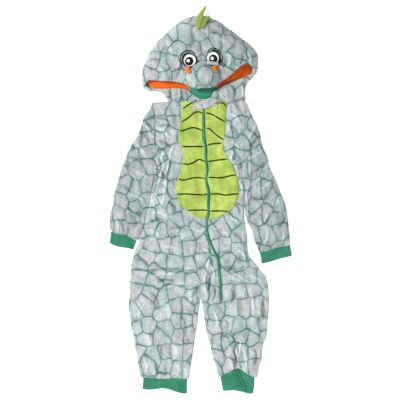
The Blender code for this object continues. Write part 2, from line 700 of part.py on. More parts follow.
def oval_plan(centre, radii, sections, power=2.0, turn=0.0):
    """A square grid of points drawn out to an oval; a power over 2 squares its corners."""
    steps = np.linspace(-1, 1, sections + 1)
    u, v = np.meshgrid(steps, steps, indexing="ij")
    reach = np.maximum(np.abs(u), np.abs(v))
    bend = (np.abs(u) ** power + np.abs(v) ** power) ** (1 / power)
    scale = np.where(bend > 0, reach / np.where(bend > 0, bend, 1), 0)
    x, y = v * scale * radii[0], u * scale * radii[1]
    c, s = math.cos(math.radians(turn)), math.sin(math.radians(turn))
    return np.dstack([centre[0] + c * x - s * y, centre[1] + s * x + c * y])


def strip_plan(left, right, sections):
    """A grid between two edges that have as many points."""
    left, right = np.array(left, float), np.array(right, float)
    return np.stack([left + (right - left) * t for t in np.linspace(0, 1, sections + 1)], axis=1)


def build_torso():
    leg, strip = right_front_patches()
    side, belly = left_front_patches()
    leg, strip, side, belly = (front_surface(plan) for plan in (leg, strip, side, belly))
    cloth("front_right", [leg, strip], FLEECE, "fleece")
    cloth("front_left", [side, belly], FLEECE, "fleece")
    out = SEAM + JERSEY
    cloth("belly_right", [strip[: panel_end + 1]], JERSEY, "belly", out=out)
    cloth("belly_left", [belly[: panel_end + 1]], JERSEY, "belly", out=out)

    line = zip_points[: int(np.argmax(zip_rows["y"] < ZIP_END))]
    z = front_surface(line[None])[0, :, 2]
    half = ZIP_HALF - SEAM
    upper = np.array([[[x + k * half, y, h + ZIP_RISE] for k in (-1, 1)] for (x, y), h in zip(line, z)])
    lower = upper - np.array([0.0, 0.0, FLEECE + ZIP_RISE])
    closed_slab("zip", upper, lower, "zip")

    count = len(right_side)
    rows = [0, *range(len(TOP_ROLL) - 1 + STEPS, count, STEPS)]
    levels = right_side[: crotch + 1, 1]
    fork = points_of(right_rows, "panel")[crotch]
    nape = np.array([CENTRE_BACK, NAPE])
    t = (levels - levels[0]) / (levels[-1] - levels[0])
    centre = nape + (fork - nape) * t[:, None]
    inner = {}
    for name, column, shift in (("right", "panel", -SEAM_HALF), ("left", "strip", SEAM_HALF)):
        legs = points_of(right_rows, column, slice(crotch + 1, None))
        inner[name] = np.concatenate([centre, legs]) + [shift, 0.0]
    back_panel("back_right", right_side, inner["right"], rows)
    back_panel("back_left", left_side, inner["left"], rows)


def build_arms_and_cuffs():
    wrist_right = sleeve("sleeve_right", right_sleeve, right_side, -1)
    wrist_left = sleeve("sleeve_left", left_sleeve, left_side, 1)
    cuff("wrist_cuff_right", wrist_right, np.array([(-271.0, -131.5), (-198.0, -151.0)]), (6.0, 5.0))
    cuff("wrist_cuff_left", wrist_left, np.array([(275.0, -168.0), (189.0, -192.0)]), (2.0, 2.0))
    ankle_right = np.array([right_side[-1], points_of(right_rows, "panel")[-1]])
    cuff("ankle_cuff_right", ankle_right, np.array([(-174.5, -567.0), (-40.0, -570.0)]), (8.0, 5.0))
    strip_end = points_of(right_rows, "strip")[-1]
    ankle_left = np.array([strip_end, left_side[-1]])
    front_hem = np.array([strip_end, zip_points[-1], points_of(left_rows, "panel")[-1], left_side[-1]])
    cuff("ankle_cuff_left", ankle_left, np.array([(69.0, -571.5), (160.0, -577.0)]), (9.0, 6.0), front_hem)


def build_hood():
    for name, columns, side in (("hood_right", right_hood, -1), ("hood_left", left_hood, 1)):
        front, under = hood_half(name, columns, side)
        cloth(name, [front, under], FLEECE, "fleece")


# What shows in the mouth: the lining on each side of the throat, and the facing between, all on the
# back layer of the hood. Lower and upper edges, from the wearer's right to left.
lining_right_edges = table(
    "low_x low_y high_x high_y",
    (-157.0, 345.0, -150.0, 362.0),
    (-147.0, 333.0, -142.0, 378.0),
    (-110.0, 333.0, -108.0, 388.0),
    (-70.0, 328.0, -70.0, 388.0),
    (-44.0, 322.0, -44.0, 380.0),
    (-32.0, 316.0, -32.0, 372.0),
)
facing_edges = table(
    "low_x low_y high_x high_y",
    (-31.0, 316.0, -31.0, 340.0),
    (0.0, 301.0, -8.0, 345.0),
    (27.0, 301.0, 24.0, 345.0),
    (50.0, 322.0, 48.0, 345.0),
)
lining_left_edges = table(
    "low_x low_y high_x high_y",
    (51.0, 322.0, 50.0, 372.0),
    (72.0, 332.0, 70.0, 392.0),
    (100.0, 346.0, 92.0, 412.0),
    (126.0, 354.0, 112.0, 432.0),
    (146.0, 366.0, 134.0, 444.0),
    (158.0, 384.0, 156.0, 436.0),
)
LINING_SECTIONS = 4


def on_back_layer(name, edges, finish):
    """A flat piece that lies on the hood's back layer, between its lower and upper edge."""
    low, high = points_of(edges, "low"), points_of(edges, "high")
    plan = strip_plan(low, high, LINING_SECTIONS)
    z = np.full(plan.shape[:2], FLEECE + SEAM)
    closed_slab(name, np.dstack([plan, z + JERSEY]), np.dstack([plan, z]), finish)


# Padded and applied pieces on the hood, as ovals: centre, half sizes, turn, thickness and swell.
face_pieces = {
    "muzzle": ((3.0, 370.0), (52.0, 38.0), 0.0, 2.0, 19.0, 2.6, 8, "fleece"),
    "eye_right": ((-32.0, 416.0), (21.0, 21.0), 0.0, 1.6, 0.8, 2.0, 4, "eye"),
    "eye_left": ((39.5, 423.0), (21.0, 21.0), 0.0, 1.6, 0.8, 2.0, 4, "eye"),
    "cheek_right": ((-37.0, 388.0), (8.0, 12.0), 18.0, 1.4, 0.4, 2.0, 3, "lining"),
    "cheek_left": ((45.0, 392.0), (8.0, 12.0), 14.0, 1.4, 0.4, 2.0, 3, "lining"),
}

# The two spikes of the crest: left and right edge from the seam in the hood to the tip.
spike_edges = {
    "crest_spike_long": (
        [(-7.0, 506.0), (-13.0, 516.0), (-14.0, 534.0), (-11.0, 553.0), (2.0, 568.0), (14.0, 580.0)],
        [(1.0, 508.0), (4.0, 520.0), (8.0, 535.0), (11.0, 550.0), (14.0, 566.0), (17.0, 582.0)],
    ),
    "crest_spike_short": (
        [(1.9, 508.5), (4.9, 520.0), (8.9, 534.0), (13.0, 546.0), (27.0, 551.0)],
        [(8.0, 511.0), (17.0, 521.0), (24.0, 533.0), (29.0, 543.0), (32.0, 550.0)],
    ),
}
TIP_HEIGHT = 9.0  # of a spike's tip, past the edge of the hood
BROW_HEIGHT = 24.5  # of the muzzle's underside, past the edge of the hood
TAB_EDGES = (
    [(-24.0, 284.0), (-6.0, 292.0), (10.0, 298.0), (24.0, 303.0), (38.0, 308.0), (50.0, 301.0)],
    [(-20.0, 267.0), (-6.0, 269.0), (10.0, 271.0), (22.0, 274.0), (36.0, 281.0), (54.0, 292.0)],
)
STUD = (45.0, 279.0, 5.0, 1.3)  # x, y, radius of the ring and of its section
STUD_SECTIONS = (16, 6)  # round the ring and round its section


def build_hood_details():
    on_back_layer("lining_right", lining_right_edges, "lining")
    on_back_layer("lining_left", lining_left_edges, "lining")
    on_back_layer("neck_facing", facing_edges, "rib")

    hosts = trees_of(bpy.data.objects["hood_right"], bpy.data.objects["hood_left"])
    for name, (centre, radii, turn, thickness, swell, power, sections, finish) in face_pieces.items():
        plan = oval_plan(centre, radii, sections, power, turn)
        made = laid_on(name, plan, hosts, thickness, finish, swell, reach=9.0, fall_back=BROW_HEIGHT)
        hosts += trees_of(made)

    for name, (left, right) in spike_edges.items():
        laid_on(name, strip_plan(left, right, 2), hosts[:2], FELT, "felt", reach=5.0, fall_back=TIP_HEIGHT)


def build_neck_tab():
    names = ("front_right", "front_left", "belly_right", "belly_left", "zip", "hood_right", "hood_left")
    hosts = trees_of(*(bpy.data.objects[name] for name in names))
    plan = strip_plan(*TAB_EDGES, 3)
    laid_on("neck_tab", plan, hosts, FLEECE, "fleece", crown=1.5, reach=11.0, fall_back=LEVEL)

    x, y, radius, section = STUD
    top = top_of(hosts, x, y, radius)
    around, about = STUD_SECTIONS
    made = bmesh.new()
    grid = []
    for i in range(around):
        a = math.tau * i / around
        for j in range(about):
            b = math.tau * j / about
            reach = radius + section * math.cos(b)
            height = top + SEAM + section * (1 + math.sin(b))
            point = Vector((x + reach * math.cos(a), y + reach * math.sin(a), height))
            grid.append(made.verts.new(point * MM))
    for i in range(around):
        for j in range(about):
            k, m = (i + 1) % around, (j + 1) % about
            corners = (about * i + j, about * k + j, about * k + m, about * i + m)
            made.faces.new([grid[corner] for corner in corners])
    bmesh.ops.recalc_face_normals(made, faces=made.faces)
    add_object("press_stud", made, "plastic")


def centre_on_origin():
    """Moves every piece so that the garment's box is centred on the origin."""
    bpy.context.view_layer.update()
    graph = bpy.context.evaluated_depsgraph_get()
    low, high = Vector((1, 1, 1)) * 1e9, Vector((1, 1, 1)) * -1e9
    for piece in garment.objects:
        for vert in piece.evaluated_get(graph).to_mesh().vertices:
            low = Vector(map(min, low, vert.co))
            high = Vector(map(max, high, vert.co))
    shift = Vector((-(low.x + high.x) / 2, -(low.y + high.y) / 2, 0.0))
    for piece in garment.objects:
        for vert in piece.data.vertices:
            vert.co += shift
    print(f"shift {shift.x / MM:.2f} {shift.y / MM:.2f} mm, size {(high - low) / MM}")


for leftover in list(bpy.data.objects):
    bpy.data.objects.remove(leftover)
garment = bpy.data.collections.new("hooded_jumpsuit")
bpy.context.scene.collection.children.link(garment)

build_torso()
build_arms_and_cuffs()
build_hood()
build_hood_details()
build_neck_tab()
centre_on_origin()
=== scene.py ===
import bmesh
import bpy
import math
import numpy as np
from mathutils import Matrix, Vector
from mathutils.bvhtree import BVHTree


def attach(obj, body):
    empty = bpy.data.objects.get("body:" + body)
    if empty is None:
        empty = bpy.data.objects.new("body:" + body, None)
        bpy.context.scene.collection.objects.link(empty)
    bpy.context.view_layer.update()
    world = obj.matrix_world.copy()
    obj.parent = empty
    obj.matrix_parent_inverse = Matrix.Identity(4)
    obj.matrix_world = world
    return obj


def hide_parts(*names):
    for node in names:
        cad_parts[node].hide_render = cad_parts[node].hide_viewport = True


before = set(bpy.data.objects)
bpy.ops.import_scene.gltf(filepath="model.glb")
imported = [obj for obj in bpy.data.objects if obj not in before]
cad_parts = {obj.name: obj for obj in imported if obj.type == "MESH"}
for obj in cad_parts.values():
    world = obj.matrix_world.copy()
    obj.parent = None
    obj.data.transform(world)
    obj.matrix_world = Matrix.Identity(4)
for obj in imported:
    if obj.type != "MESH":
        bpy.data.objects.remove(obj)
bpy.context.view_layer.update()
mm = 0.001
# the garment's own drawing is a little off the frame's centre
layout = {"shiftX": -0.5, "shiftY": -2.5}


def place(x, y, z=0.0):
    return Vector(((x + layout["shiftX"]) * mm, (y + layout["shiftY"]) * mm, z * mm))


# Creases in the cloth, in millimetres: from, to, half width, height (below 0 is a trough).
creases = [
    # torso, wearer's right side
    (-128, 246, -96, 236, 4.5, -1.6), (-134, 218, -92, 190, 5, 1.8), (-120, 176, -84, 160, 4, -1.8),
    (-124, 140, -102, 152, 3.2, -2.8), (-118, 128, -92, 138, 4.2, 2.4), (-130, 96, -108, 70, 3.6, -2.2),
    (-118, 84, -126, 52, 3.4, 2.6), (-112, 44, -92, 18, 4, -2.0), (-136, 22, -116, -14, 4, 2),
    (-96, -4, -70, -38, 4.2, -1.8), (-140, -38, -98, -46, 4.4, 1.8), (-150, -66, -104, -58, 3.8, -1.8),
    (-160, -92, -118, -106, 5, 1.6), (-96, -90, -40, -84, 4.2, -1.4), (-60, -116, -20, -102, 4.4, 1.6),
    (-180, -150, -128, -160, 5, 1.8), (-190, -176, -150, -196, 4.2, -1.8), (-110, -140, -60, -150, 5, 1.5),
    # torso, wearer's left side
    (88, 258, 122, 236, 4.2, 1.8), (92, 220, 116, 196, 4.6, -1.6), (96, 178, 118, 150, 4.2, 1.8),
    (110, 138, 119, 108, 3.2, -2.4), (104, 122, 112, 96, 3.4, 2.2), (120, 56, 127, 14, 3.4, 1.8),
    (104, -10, 122, -44, 4, -1.6), (92, -54, 124, -70, 4.4, 1.6), (96, -100, 126, -126, 4.2, -1.6),
    (70, -92, 96, -120, 4, 1.5), (112, -150, 138, -172, 4.2, 1.8), (66, -156, 96, -160, 3.6, -1.6),
    # between the zip and the crotch
    (14, -146, 34, -176, 3.6, 1.8), (28, -170, 40, -204, 3.2, -2.2), (36, -196, 44, -236, 3.2, 2),
    (30, -232, 24, -272, 3, -2.4), (14, -262, 20, -300, 3.4, 2.2), (44, -256, 38, -304, 3.4, -1.8),
    (-8, -250, -26, -292, 3.8, -1.8), (-30, -262, -34, -316, 4, 1.6),
    # wearer's right leg
    (-186, -214, -136, -226, 4.6, 1.8), (-128, -250, -70, -240, 4, -1.8), (-96, -262, -34, -250, 4.6, 1.8),
    (-150, -270, -126, -316, 5, -1.6), (-190, -300, -184, -350, 4.4, 1.8), (-100, -304, -92, -356, 5.2, 1.5),
    (-52, -350, -46, -410, 4.2, -1.6), (-160, -396, -148, -450, 4.8, 1.6), (-122, -430, -118, -482, 4.4, -1.6),
    (-84, -420, -74, -480, 4.6, 1.6), (-170, -470, -160, -520, 4.2, 1.6), (-64, -486, -70, -530, 3.8, 1.8),
    (-104, -494, -108, -530, 3.4, -1.8), (-136, -500, -138, -530, 3.6, 1.6), (-44, -500, -42, -532, 3.2, 1.4),
    # wearer's left leg
    (72, -202, 118, -222, 4.2, -1.8), (84, -232, 124, -242, 4.4, 1.6), (152, -226, 188, -250, 4.4, 1.8),
    (96, -266, 92, -312, 4.2, -1.6), (150, -272, 156, -330, 4.8, 1.6), (188, -300, 190, -360, 4.2, -1.6),
    (40, -330, 50, -384, 3.8, 1.8), (70, -350, 84, -392, 3.6, -2.0), (94, -402, 104, -452, 3.2, -2.4),
    (118, -420, 116, -476, 4, 1.8), (60, -430, 72, -484, 4, -1.6), (132, -446, 136, -500, 4.2, 1.6),
    (164, -440, 160, -500, 4.4, -1.6), (84, -470, 98, -508, 3.4, 1.8), (120, -490, 124, -522, 3.4, -1.8),
    # sleeves
    (-170, 232, -146, 196, 4.2, 1.8), (-180, 204, -150, 172, 3.8, -1.8), (-196, 168, -158, 128, 4.4, 1.8),
    (-212, 130, -176, 112, 4, -1.8), (-190, 84, -152, 66, 4.2, 2), (-222, 92, -190, 60, 4.4, 1.6),
    (-240, 40, -206, 26, 4, -1.6), (-204, 14, -170, -2, 4.2, 1.8), (-244, -16, -214, -30, 4.4, 1.6),
    (-210, -40, -190, -78, 4, -1.8), (-252, -52, -246, -92, 4, 1.5), (-236, -62, -230, -98, 3.6, -1.5),
    (166, 222, 142, 190, 4.2, 1.8), (176, 190, 146, 160, 3.8, -1.8), (188, 150, 152, 126, 4.4, 1.8),
    (196, 116, 160, 84, 4, -1.8), (186, 72, 146, 46, 4.2, 2), (220, 70, 184, 34, 4.4, 1.6),
    (204, 20, 162, 2, 4, -1.6), (238, 8, 214, -26, 4.4, 1.6), (206, -42, 180, -72, 4.2, 1.8),
    (254, -48, 236, -84, 4, -1.6), (200, -84, 194, -134, 4, 1.6), (252, -92, 250, -130, 3.8, 1.5),
    # neck and hood
    (-92, 328, -88, 302, 3.2, -1.8), (-64, 330, -60, 300, 3, 2), (-40, 326, -36, 300, 2.8, -1.8),
    (-8, 316, -4, 300, 2.6, 1.5), (52, 322, 54, 300, 2.8, -1.8), (76, 334, 80, 302, 3, 1.9),
    (100, 344, 104, 304, 3.2, -1.9), (124, 350, 126, 304, 3.2, 1.8), (-130, 400, -104, 372, 5, 1.8),
    (-146, 420, -120, 420, 4.6, -1.6), (-96, 470, -84, 420, 6, 1.6), (-120, 440, -100, 452, 5, -1.4),
    (124, 436, 122, 408, 3.2, -2.2), (90, 440, 86, 398, 3.6, 2), (76, 430, 70, 392, 4, -1.6),
    (146, 440, 152, 412, 3.8, 1.8), (60, 480, 92, 462, 5, 1.5), (-20, 500, -26, 452, 4, -1.6),
    (-60, 440, -70, 392, 4.6, 1.6), (-62, 390, -72, 364, 3.8, -1.8), (36, 470, 40, 446, 3.8, 1.5),
]
# Longer creases that wander: their points, then half width and height.
longCreases = [
    (((-78, 170), (-90, 128), (-99, 78), (-105, 24), (-117, -22)), 3.4, 2.6),
    (((-110, 140), (-122, 124), (-114, 100), (-128, 74), (-140, 50), (-146, 30)), 3, -2.4),
    (((-104, 148), (-114, 128), (-106, 104), (-118, 80), (-130, 52)), 2.8, 2.6),
    (((-146, 4), (-132, -20), (-138, -50), (-120, -76)), 3.4, 2.2),
    (((105, 152), (94, 122), (112, 100), (121, 128)), 3, 2.4),
    (((100, 144), (102, 124), (113, 112)), 2.6, -2.4),
    (((148, 156), (151, 80), (142, 20), (143, -50)), 3, 2.2),
    (((-205, -202), (-160, -212), (-110, -206), (-60, -208), (-6, -214)), 3.6, -3.0),
    (((-150, -236), (-112, -222), (-70, -214), (-20, -206)), 3.6, 2.6),
    (((30, -170), (22, -205), (14, -240), (24, -280)), 3, 2.4),
    (((72, -196), (116, -206), (140, -196)), 3.4, -2.6),
    (((84, -214), (120, -226), (160, -262)), 3.4, 2.2),
    (((36, -70), (52, -86), (64, -78), (76, -92)), 3, 2.2),
    (((62, -402), (84, -408), (96, -432), (108, -470), (112, -500)), 3, -2.8),
    (((74, -398), (98, -404), (108, -436), (118, -478)), 3, 2.4),
    (((-30, -80), (0, -92), (18, -88)), 3.2, 1.8),
    (((-164, 236), (-132, 214), (-100, 226), (-82, 210)), 3.2, -2.2),
    (((-150, 196), (-120, 184), (-96, 196), (-84, 184)), 3.4, 2.2),
]
swell = {"waves": 36, "shortest": 20.0, "longest": 75.0, "height": 1.0, "seed": 7}
creaseStrength = 2.0
# small moves of the outline: centre, reach in x and y, move in x and y
outlineMoves = [
    (-207, -203, 14, 7, 5.5, 0), (-211, -192, 12, 6, -2.0, 0), (-48, -569, 24, 18, 2.0, -11.0),
    (-110, -568, 22, 12, 0, 2.5), (-160, -566, 14, 12, 0, -2.5), (-270, -45, 12, 20, -3.0, 0),
    (266, -30, 10, 40, 3.0, 0), (248, 30, 12, 30, 3.5, 0), (-165, 240, 12, 30, -3.0, 2.0),
    (-60, 548, 40, 14, 0, 5.0), (-176, 370, 12, 40, -2.5, 0), (18, 574, 9, 14, 3.5, 2.0),
    (150, -575, 20, 10, 0, -5.0), (188, -192, 12, 14, -4.0, -2.0), (180, 400, 10, 30, -3.0, 0),
    (-66, -566, 20, 14, 0, -2.0),
]
wander = {"waves": 10, "shortest": 45.0, "longest": 110.0, "reach": 1.1, "seed": 19}


def smoothPath(points, step):
    # a smooth curve through the points, read every step millimetres
    pts = np.array(points, float)
    ends = np.vstack([2 * pts[0] - pts[1], pts, 2 * pts[-1] - pts[-2]])
    found = []
    for i in range(1, len(ends) - 2):
        before, a, b, after = ends[i - 1:i + 3]
        count = max(2, int(np.linalg.norm(b - a) / step))
        for t in np.arange(count) / count:
            found.append(a + 0.5 * t * (b - before) + t * t * (before - 2.5 * a + 2 * b - 0.5 * after)
                         + t ** 3 * (1.5 * (a - b) + 0.5 * (after - before)))
    return np.array(found + [pts[-1]])


def waveField(x, y, settings, seedShift=0):
    # long soft waves in every direction, about 1 high
    rng = np.random.default_rng(settings["seed"] + seedShift)
    total = np.zeros_like(x)
    for _ in range(settings["waves"]):
        angle, phase = rng.uniform(0, math.tau, 2)
        length = rng.uniform(settings["shortest"], settings["longest"])
        total += np.sin((x * math.cos(angle) + y * math.sin(angle)) * math.tau / length + phase)
    return total * math.sqrt(2 / settings["waves"])


def wandered(path):
    # a path moved sideways as the cloth under it is
    x, y = path[:, 0], path[:, 1]
    move = np.stack([waveField(x, y, wander), waveField(x, y, wander, 1)], axis=1)
    return path + wander["reach"] * move


def longCreaseField(x, y):
    # the height of the long creases, swelling and thinning along each and fading out at its ends
    total = np.zeros_like(x)
    for points, width, height in longCreases:
        path = smoothPath(points, 8.0)
        lengths = np.concatenate([[0], np.cumsum(np.hypot(*np.diff(path, axis=0).T))])
        best = np.full_like(x, np.inf)
        where = np.zeros_like(x)
        for (ax, ay), (bx, by), start in zip(path, path[1:], lengths):
            dx, dy = bx - ax, by - ay
            t = np.clip(((x - ax) * dx + (y - ay) * dy) / (dx * dx + dy * dy), 0, 1)
            far = np.hypot(x - ax - t * dx, y - ay - t * dy)
            closer = far < best
            where[closer] = (start + t * math.hypot(dx, dy))[closer]
            best = np.minimum(best, far)
        ends = np.clip(np.minimum(where, lengths[-1] - where) / 14.0, 0, 1)
        total += 1.5 * height * np.exp(-((best / width) ** 2)) * ends * (0.8 + 0.35 * np.sin(where / 9.0))
    return total


def creaseField(x, y):
    # the height of all the creases at each point
    total = longCreaseField(x, y) / creaseStrength
    for x0, y0, x1, y1, width, height in creases:
        dx, dy = x1 - x0, y1 - y0
        length = math.hypot(dx, dy)
        along = ((x - x0) * dx + (y - y0) * dy) / length ** 2
        bend = 0.1 * length * np.sin(math.pi * np.clip(along, 0, 1))  # a crease is never straight
        across = ((x - x0) * dy - (y - y0) * dx) / length + bend
        fade = np.clip(np.abs(along - 0.5) - 0.28, 0, None) * length / (2.2 * width)
        total += height * np.exp(-((across / width) ** 2) - fade ** 2)
    return total


# where the torso bulges out against a sleeve: the torso's side edge, and how far it goes
torsoSides = {
    "right": (((-137, 150), (-135.5, 103), (-138, 69), (-142, 36), (-147.5, 6), (-152.5, -16), (-157, -37),
               (-165, -72), (-174, -105)), -1.9),
    "left": (((127, 150), (123.5, 103), (128.5, 69), (131.5, 36), (132, 4), (132.5, -16)), 1.7),
}
# how a piece settles, in millimetres: full above lyingFlat + fadeOver, and between lowest and highest
settling = {"lyingFlat": 3.0, "fadeOver": 2.5, "lowest": -3.0, "highest": 5.5, "sideReach": 8.0}


def settle(mesh, strength, side):
    # the same small unevenness for every layer, so that what lies on a panel follows it
    co = np.empty(len(mesh.vertices) * 3, np.float32)
    mesh.vertices.foreach_get("co", co)
    co = co.reshape(-1, 3).astype(float)
    x = co[:, 0] / mm - layout["shiftX"]
    y = co[:, 1] / mm - layout["shiftY"]
    lifted = np.clip((co[:, 2] / mm - settling["lyingFlat"]) / settling["fadeOver"], 0, 1)
    folded = creaseStrength * creaseField(x, y)
    rise = folded + swell["height"] * waveField(x, y, swell)
    rise = np.clip(rise, settling["lowest"], settling["highest"])
    co[:, 2] += strength * lifted * rise * mm
    # the crease height is kept for the fleece's painted highlight on ridges and painted shade in troughs
    layer = mesh.attributes.new("ridge", "FLOAT", "POINT")
    layer.data.foreach_set("value", (lifted * folded).astype(np.float32))
    if side:
        points, out = torsoSides[side]
        line = np.array(points, float)[::-1]
        near = np.abs(x - np.interp(y, line[:, 1], line[:, 0]))
        inside = (y > line[0, 1]) & (y < line[-1, 1])
        co[:, 0] += out * inside * np.exp(-((near / settling["sideReach"]) ** 2)) * mm
    for cx, cy, rx, ry, mx, my in outlineMoves:
        near = np.exp(-(((x - cx) / rx) ** 2) - ((y - cy) / ry) ** 2)
        co[:, 0] += mx * near * mm
        co[:, 1] += my * near * mm
    co[:, 0] += wander["reach"] * waveField(x, y, wander) * mm
    co[:, 1] += wander["reach"] * waveField(x, y, wander, 1) * mm
    mesh.vertices.foreach_set("co", co.astype(np.float32).ravel())
    mesh.update()


def newObject(name, mesh):
    made = bpy.data.objects.new(name, mesh)
    bpy.context.scene.collection.objects.link(made)
    return made


def meshObject(name, work):
    mesh = bpy.data.meshes.new(name)
    work.to_mesh(mesh)
    work.free()
    return newObject(name, mesh)


def plainMesh(obj):
    # the object's mesh with its modifiers applied, at the origin
    graph = bpy.context.evaluated_depsgraph_get()
    mesh = bpy.data.meshes.new_from_object(obj.evaluated_get(graph))
    obj.modifiers.clear()
    obj.data = mesh


def splitUpperSide(mesh):
    # each face that looks up becomes four, for the small creases
    work = bmesh.new()
    work.from_mesh(mesh)
    work.normal_update()
    edges = {edge for face in work.faces if face.normal.z > 0.1 for edge in face.edges}
    bmesh.ops.subdivide_edges(work, edges=list(edges), cuts=1, use_grid_fill=True)
    work.to_mesh(mesh)
    work.free()


def clothPiece(node, ending, slot, *mats, levels=2, strength=1.0, fine=False):
    # the frame's solid as soft cloth: rounded, creased, and split finer on its upper side where asked
    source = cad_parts[node]
    work = bmesh.new()
    work.from_mesh(source.data)
    work.transform(source.matrix_world)
    bmesh.ops.remove_doubles(work, verts=work.verts, dist=2e-6)
    bmesh.ops.join_triangles(
        work, faces=work.faces, angle_face_threshold=math.radians(60), angle_shape_threshold=math.radians(70)
    )
    piece = meshObject(node + "_" + ending, work)
    layers = piece.data.attributes
    for layer in ("custom_normal", "sharp_edge", "sharp_face"):
        if layer in layers:
            layers.remove(layers[layer])
    smooth = piece.modifiers.new("smooth", "SUBSURF")
    smooth.levels = levels
    smooth.render_levels = levels
    smooth.subdivision_type = "SIMPLE" if node.startswith("back") else "CATMULL_CLARK"
    plainMesh(piece)
    if fine:
        splitUpperSide(piece.data)
    torso = node.startswith(("front", "back"))
    settle(piece.data, strength, node.split("_")[1] if torso else None)
    piece.data.shade_smooth()
    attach(piece, "root")
    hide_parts(node)
    dress(piece, slot, *mats)
    return piece


# Materials
def newMaterial(name, roughness, sheen=0.0, sheenRoughness=0.5, specular=0.5):
    mat = bpy.data.materials.new(name)
    mat.use_nodes = True
    shader = mat.node_tree.nodes["Principled BSDF"]
    shader.inputs["Roughness"].default_value = roughness
    shader.inputs["Sheen Weight"].default_value = sheen
    shader.inputs["Sheen Roughness"].default_value = sheenRoughness
    shader.inputs["Specular IOR Level"].default_value = specular
    return mat, mat.node_tree, shader


def node(tree, kind, **settings):
    made = tree.nodes.new(kind)
    for key, value in settings.items():
        if key.startswith("in_"):
            made.inputs[key[3:].replace("_", " ")].default_value = value
        else:
            setattr(made, key, value)
    return made


def ramp(tree, value, stops, interpolation="LINEAR"):
    made = node(tree, "ShaderNodeValToRGB")
    made.color_ramp.interpolation = interpolation
    while len(made.color_ramp.elements) < len(stops):
        made.color_ramp.elements.new(0.5)
    for element, (position, colour) in zip(made.color_ramp.elements, stops):
        shade = colour if isinstance(colour, tuple) else (colour,) * 3  # a bare number is a grey
        element.position = position
        element.color = (*shade, 1.0)
    tree.links.new(value, made.inputs["Fac"])
    return made.outputs["Color"]


def feed(tree, socket, value):
    # a socket takes another's link, a colour or a number
    if hasattr(value, "is_linked"):
        tree.links.new(value, socket)
    else:
        socket.default_value = (*value, 1.0) if isinstance(value, tuple) else value


def mixColour(tree, factor, a, b, mode="MIX"):
    made = node(tree, "ShaderNodeMix", data_type="RGBA", blend_type=mode)
    for number, value in ((0, factor), (6, a), (7, b)):
        feed(tree, made.inputs[number], value)
    return made.outputs[2]


def noise(tree, coords, scale, detail=2.0, roughness=0.5):
    made = node(tree, "ShaderNodeTexNoise", in_Scale=scale, in_Detail=detail, in_Roughness=roughness)
    tree.links.new(coords, made.inputs["Vector"])
    return made


def addBump(tree, shader, height, strength, distance):
    bump = node(tree, "ShaderNodeBump", in_Strength=strength, in_Distance=distance)
    under = shader.inputs["Normal"]
    if under.is_linked:
        tree.links.new(under.links[0].from_socket, bump.inputs["Normal"])
    tree.links.new(height, bump.inputs["Height"])
    tree.links.new(bump.outputs["Normal"], under)


fleeceLook = {
    "grey": (0.395, 0.425, 0.432), "pale": (0.505, 0.515, 0.520), "mint": (0.290, 0.400, 0.370),
    "teal": (0.040, 0.175, 0.133), "violet": (0.110, 0.155, 0.158), "cellsPerMetre": 23.0,
    "lineFull": 0.045, "lineGone": 0.12, "bend": 0.030, "bendScale": 13.0, "fineBend": 0.008,
    "fineScale": 55.0, "stretch": (1.10, 0.94, 0.0), "start": (0.013, 0.021, 0.0), "unevenness": 0.78,
    "patchScale": 19.0, "lineToneScale": 9.0, "fadingScale": 31.0, "streakScale": 120.0,
    "napScale": 95.0, "napStrength": 0.7, "napDepth": 0.0035,
}


def joined(tree, operation, a, b, c=0.5):
    made = node(tree, "ShaderNodeMath", operation=operation)
    for number, value in enumerate((a, b, c)):
        feed(tree, made.inputs[number], value)
    return made.outputs[0]


def warped(tree, coords, scale, reach):
    # the coordinates pushed about by a noise, so that lines bend
    bent = noise(tree, coords, scale, 1.0)
    centred = node(tree, "ShaderNodeVectorMath", operation="SUBTRACT")
    centred.inputs[1].default_value = (0.5, 0.5, 0.5)
    tree.links.new(bent.outputs["Color"], centred.inputs[0])
    shift = node(tree, "ShaderNodeVectorMath", operation="MULTIPLY_ADD")
    shift.inputs[1].default_value = (reach, reach, 0.0)
    tree.links.new(centred.outputs["Vector"], shift.inputs[0])
    tree.links.new(coords, shift.inputs[2])
    return shift.outputs["Vector"]


def ovalDistance(tree, coords, oval):
    # 1 on the oval's own line, less inside it
    x, y, wide, tall = oval
    flat = node(tree, "ShaderNodeMapping", in_Scale=(1 / (wide * mm), 1 / (tall * mm), 0.0))
    centre = (-(x + layout["shiftX"]) / wide, -(y + layout["shiftY"]) / tall, 0.0)
    flat.inputs["Location"].default_value = centre
    tree.links.new(coords, flat.inputs["Vector"])
    length = node(tree, "ShaderNodeVectorMath", operation="LENGTH")
    tree.links.new(flat.outputs["Vector"], length.inputs[0])
    return length.outputs["Value"]


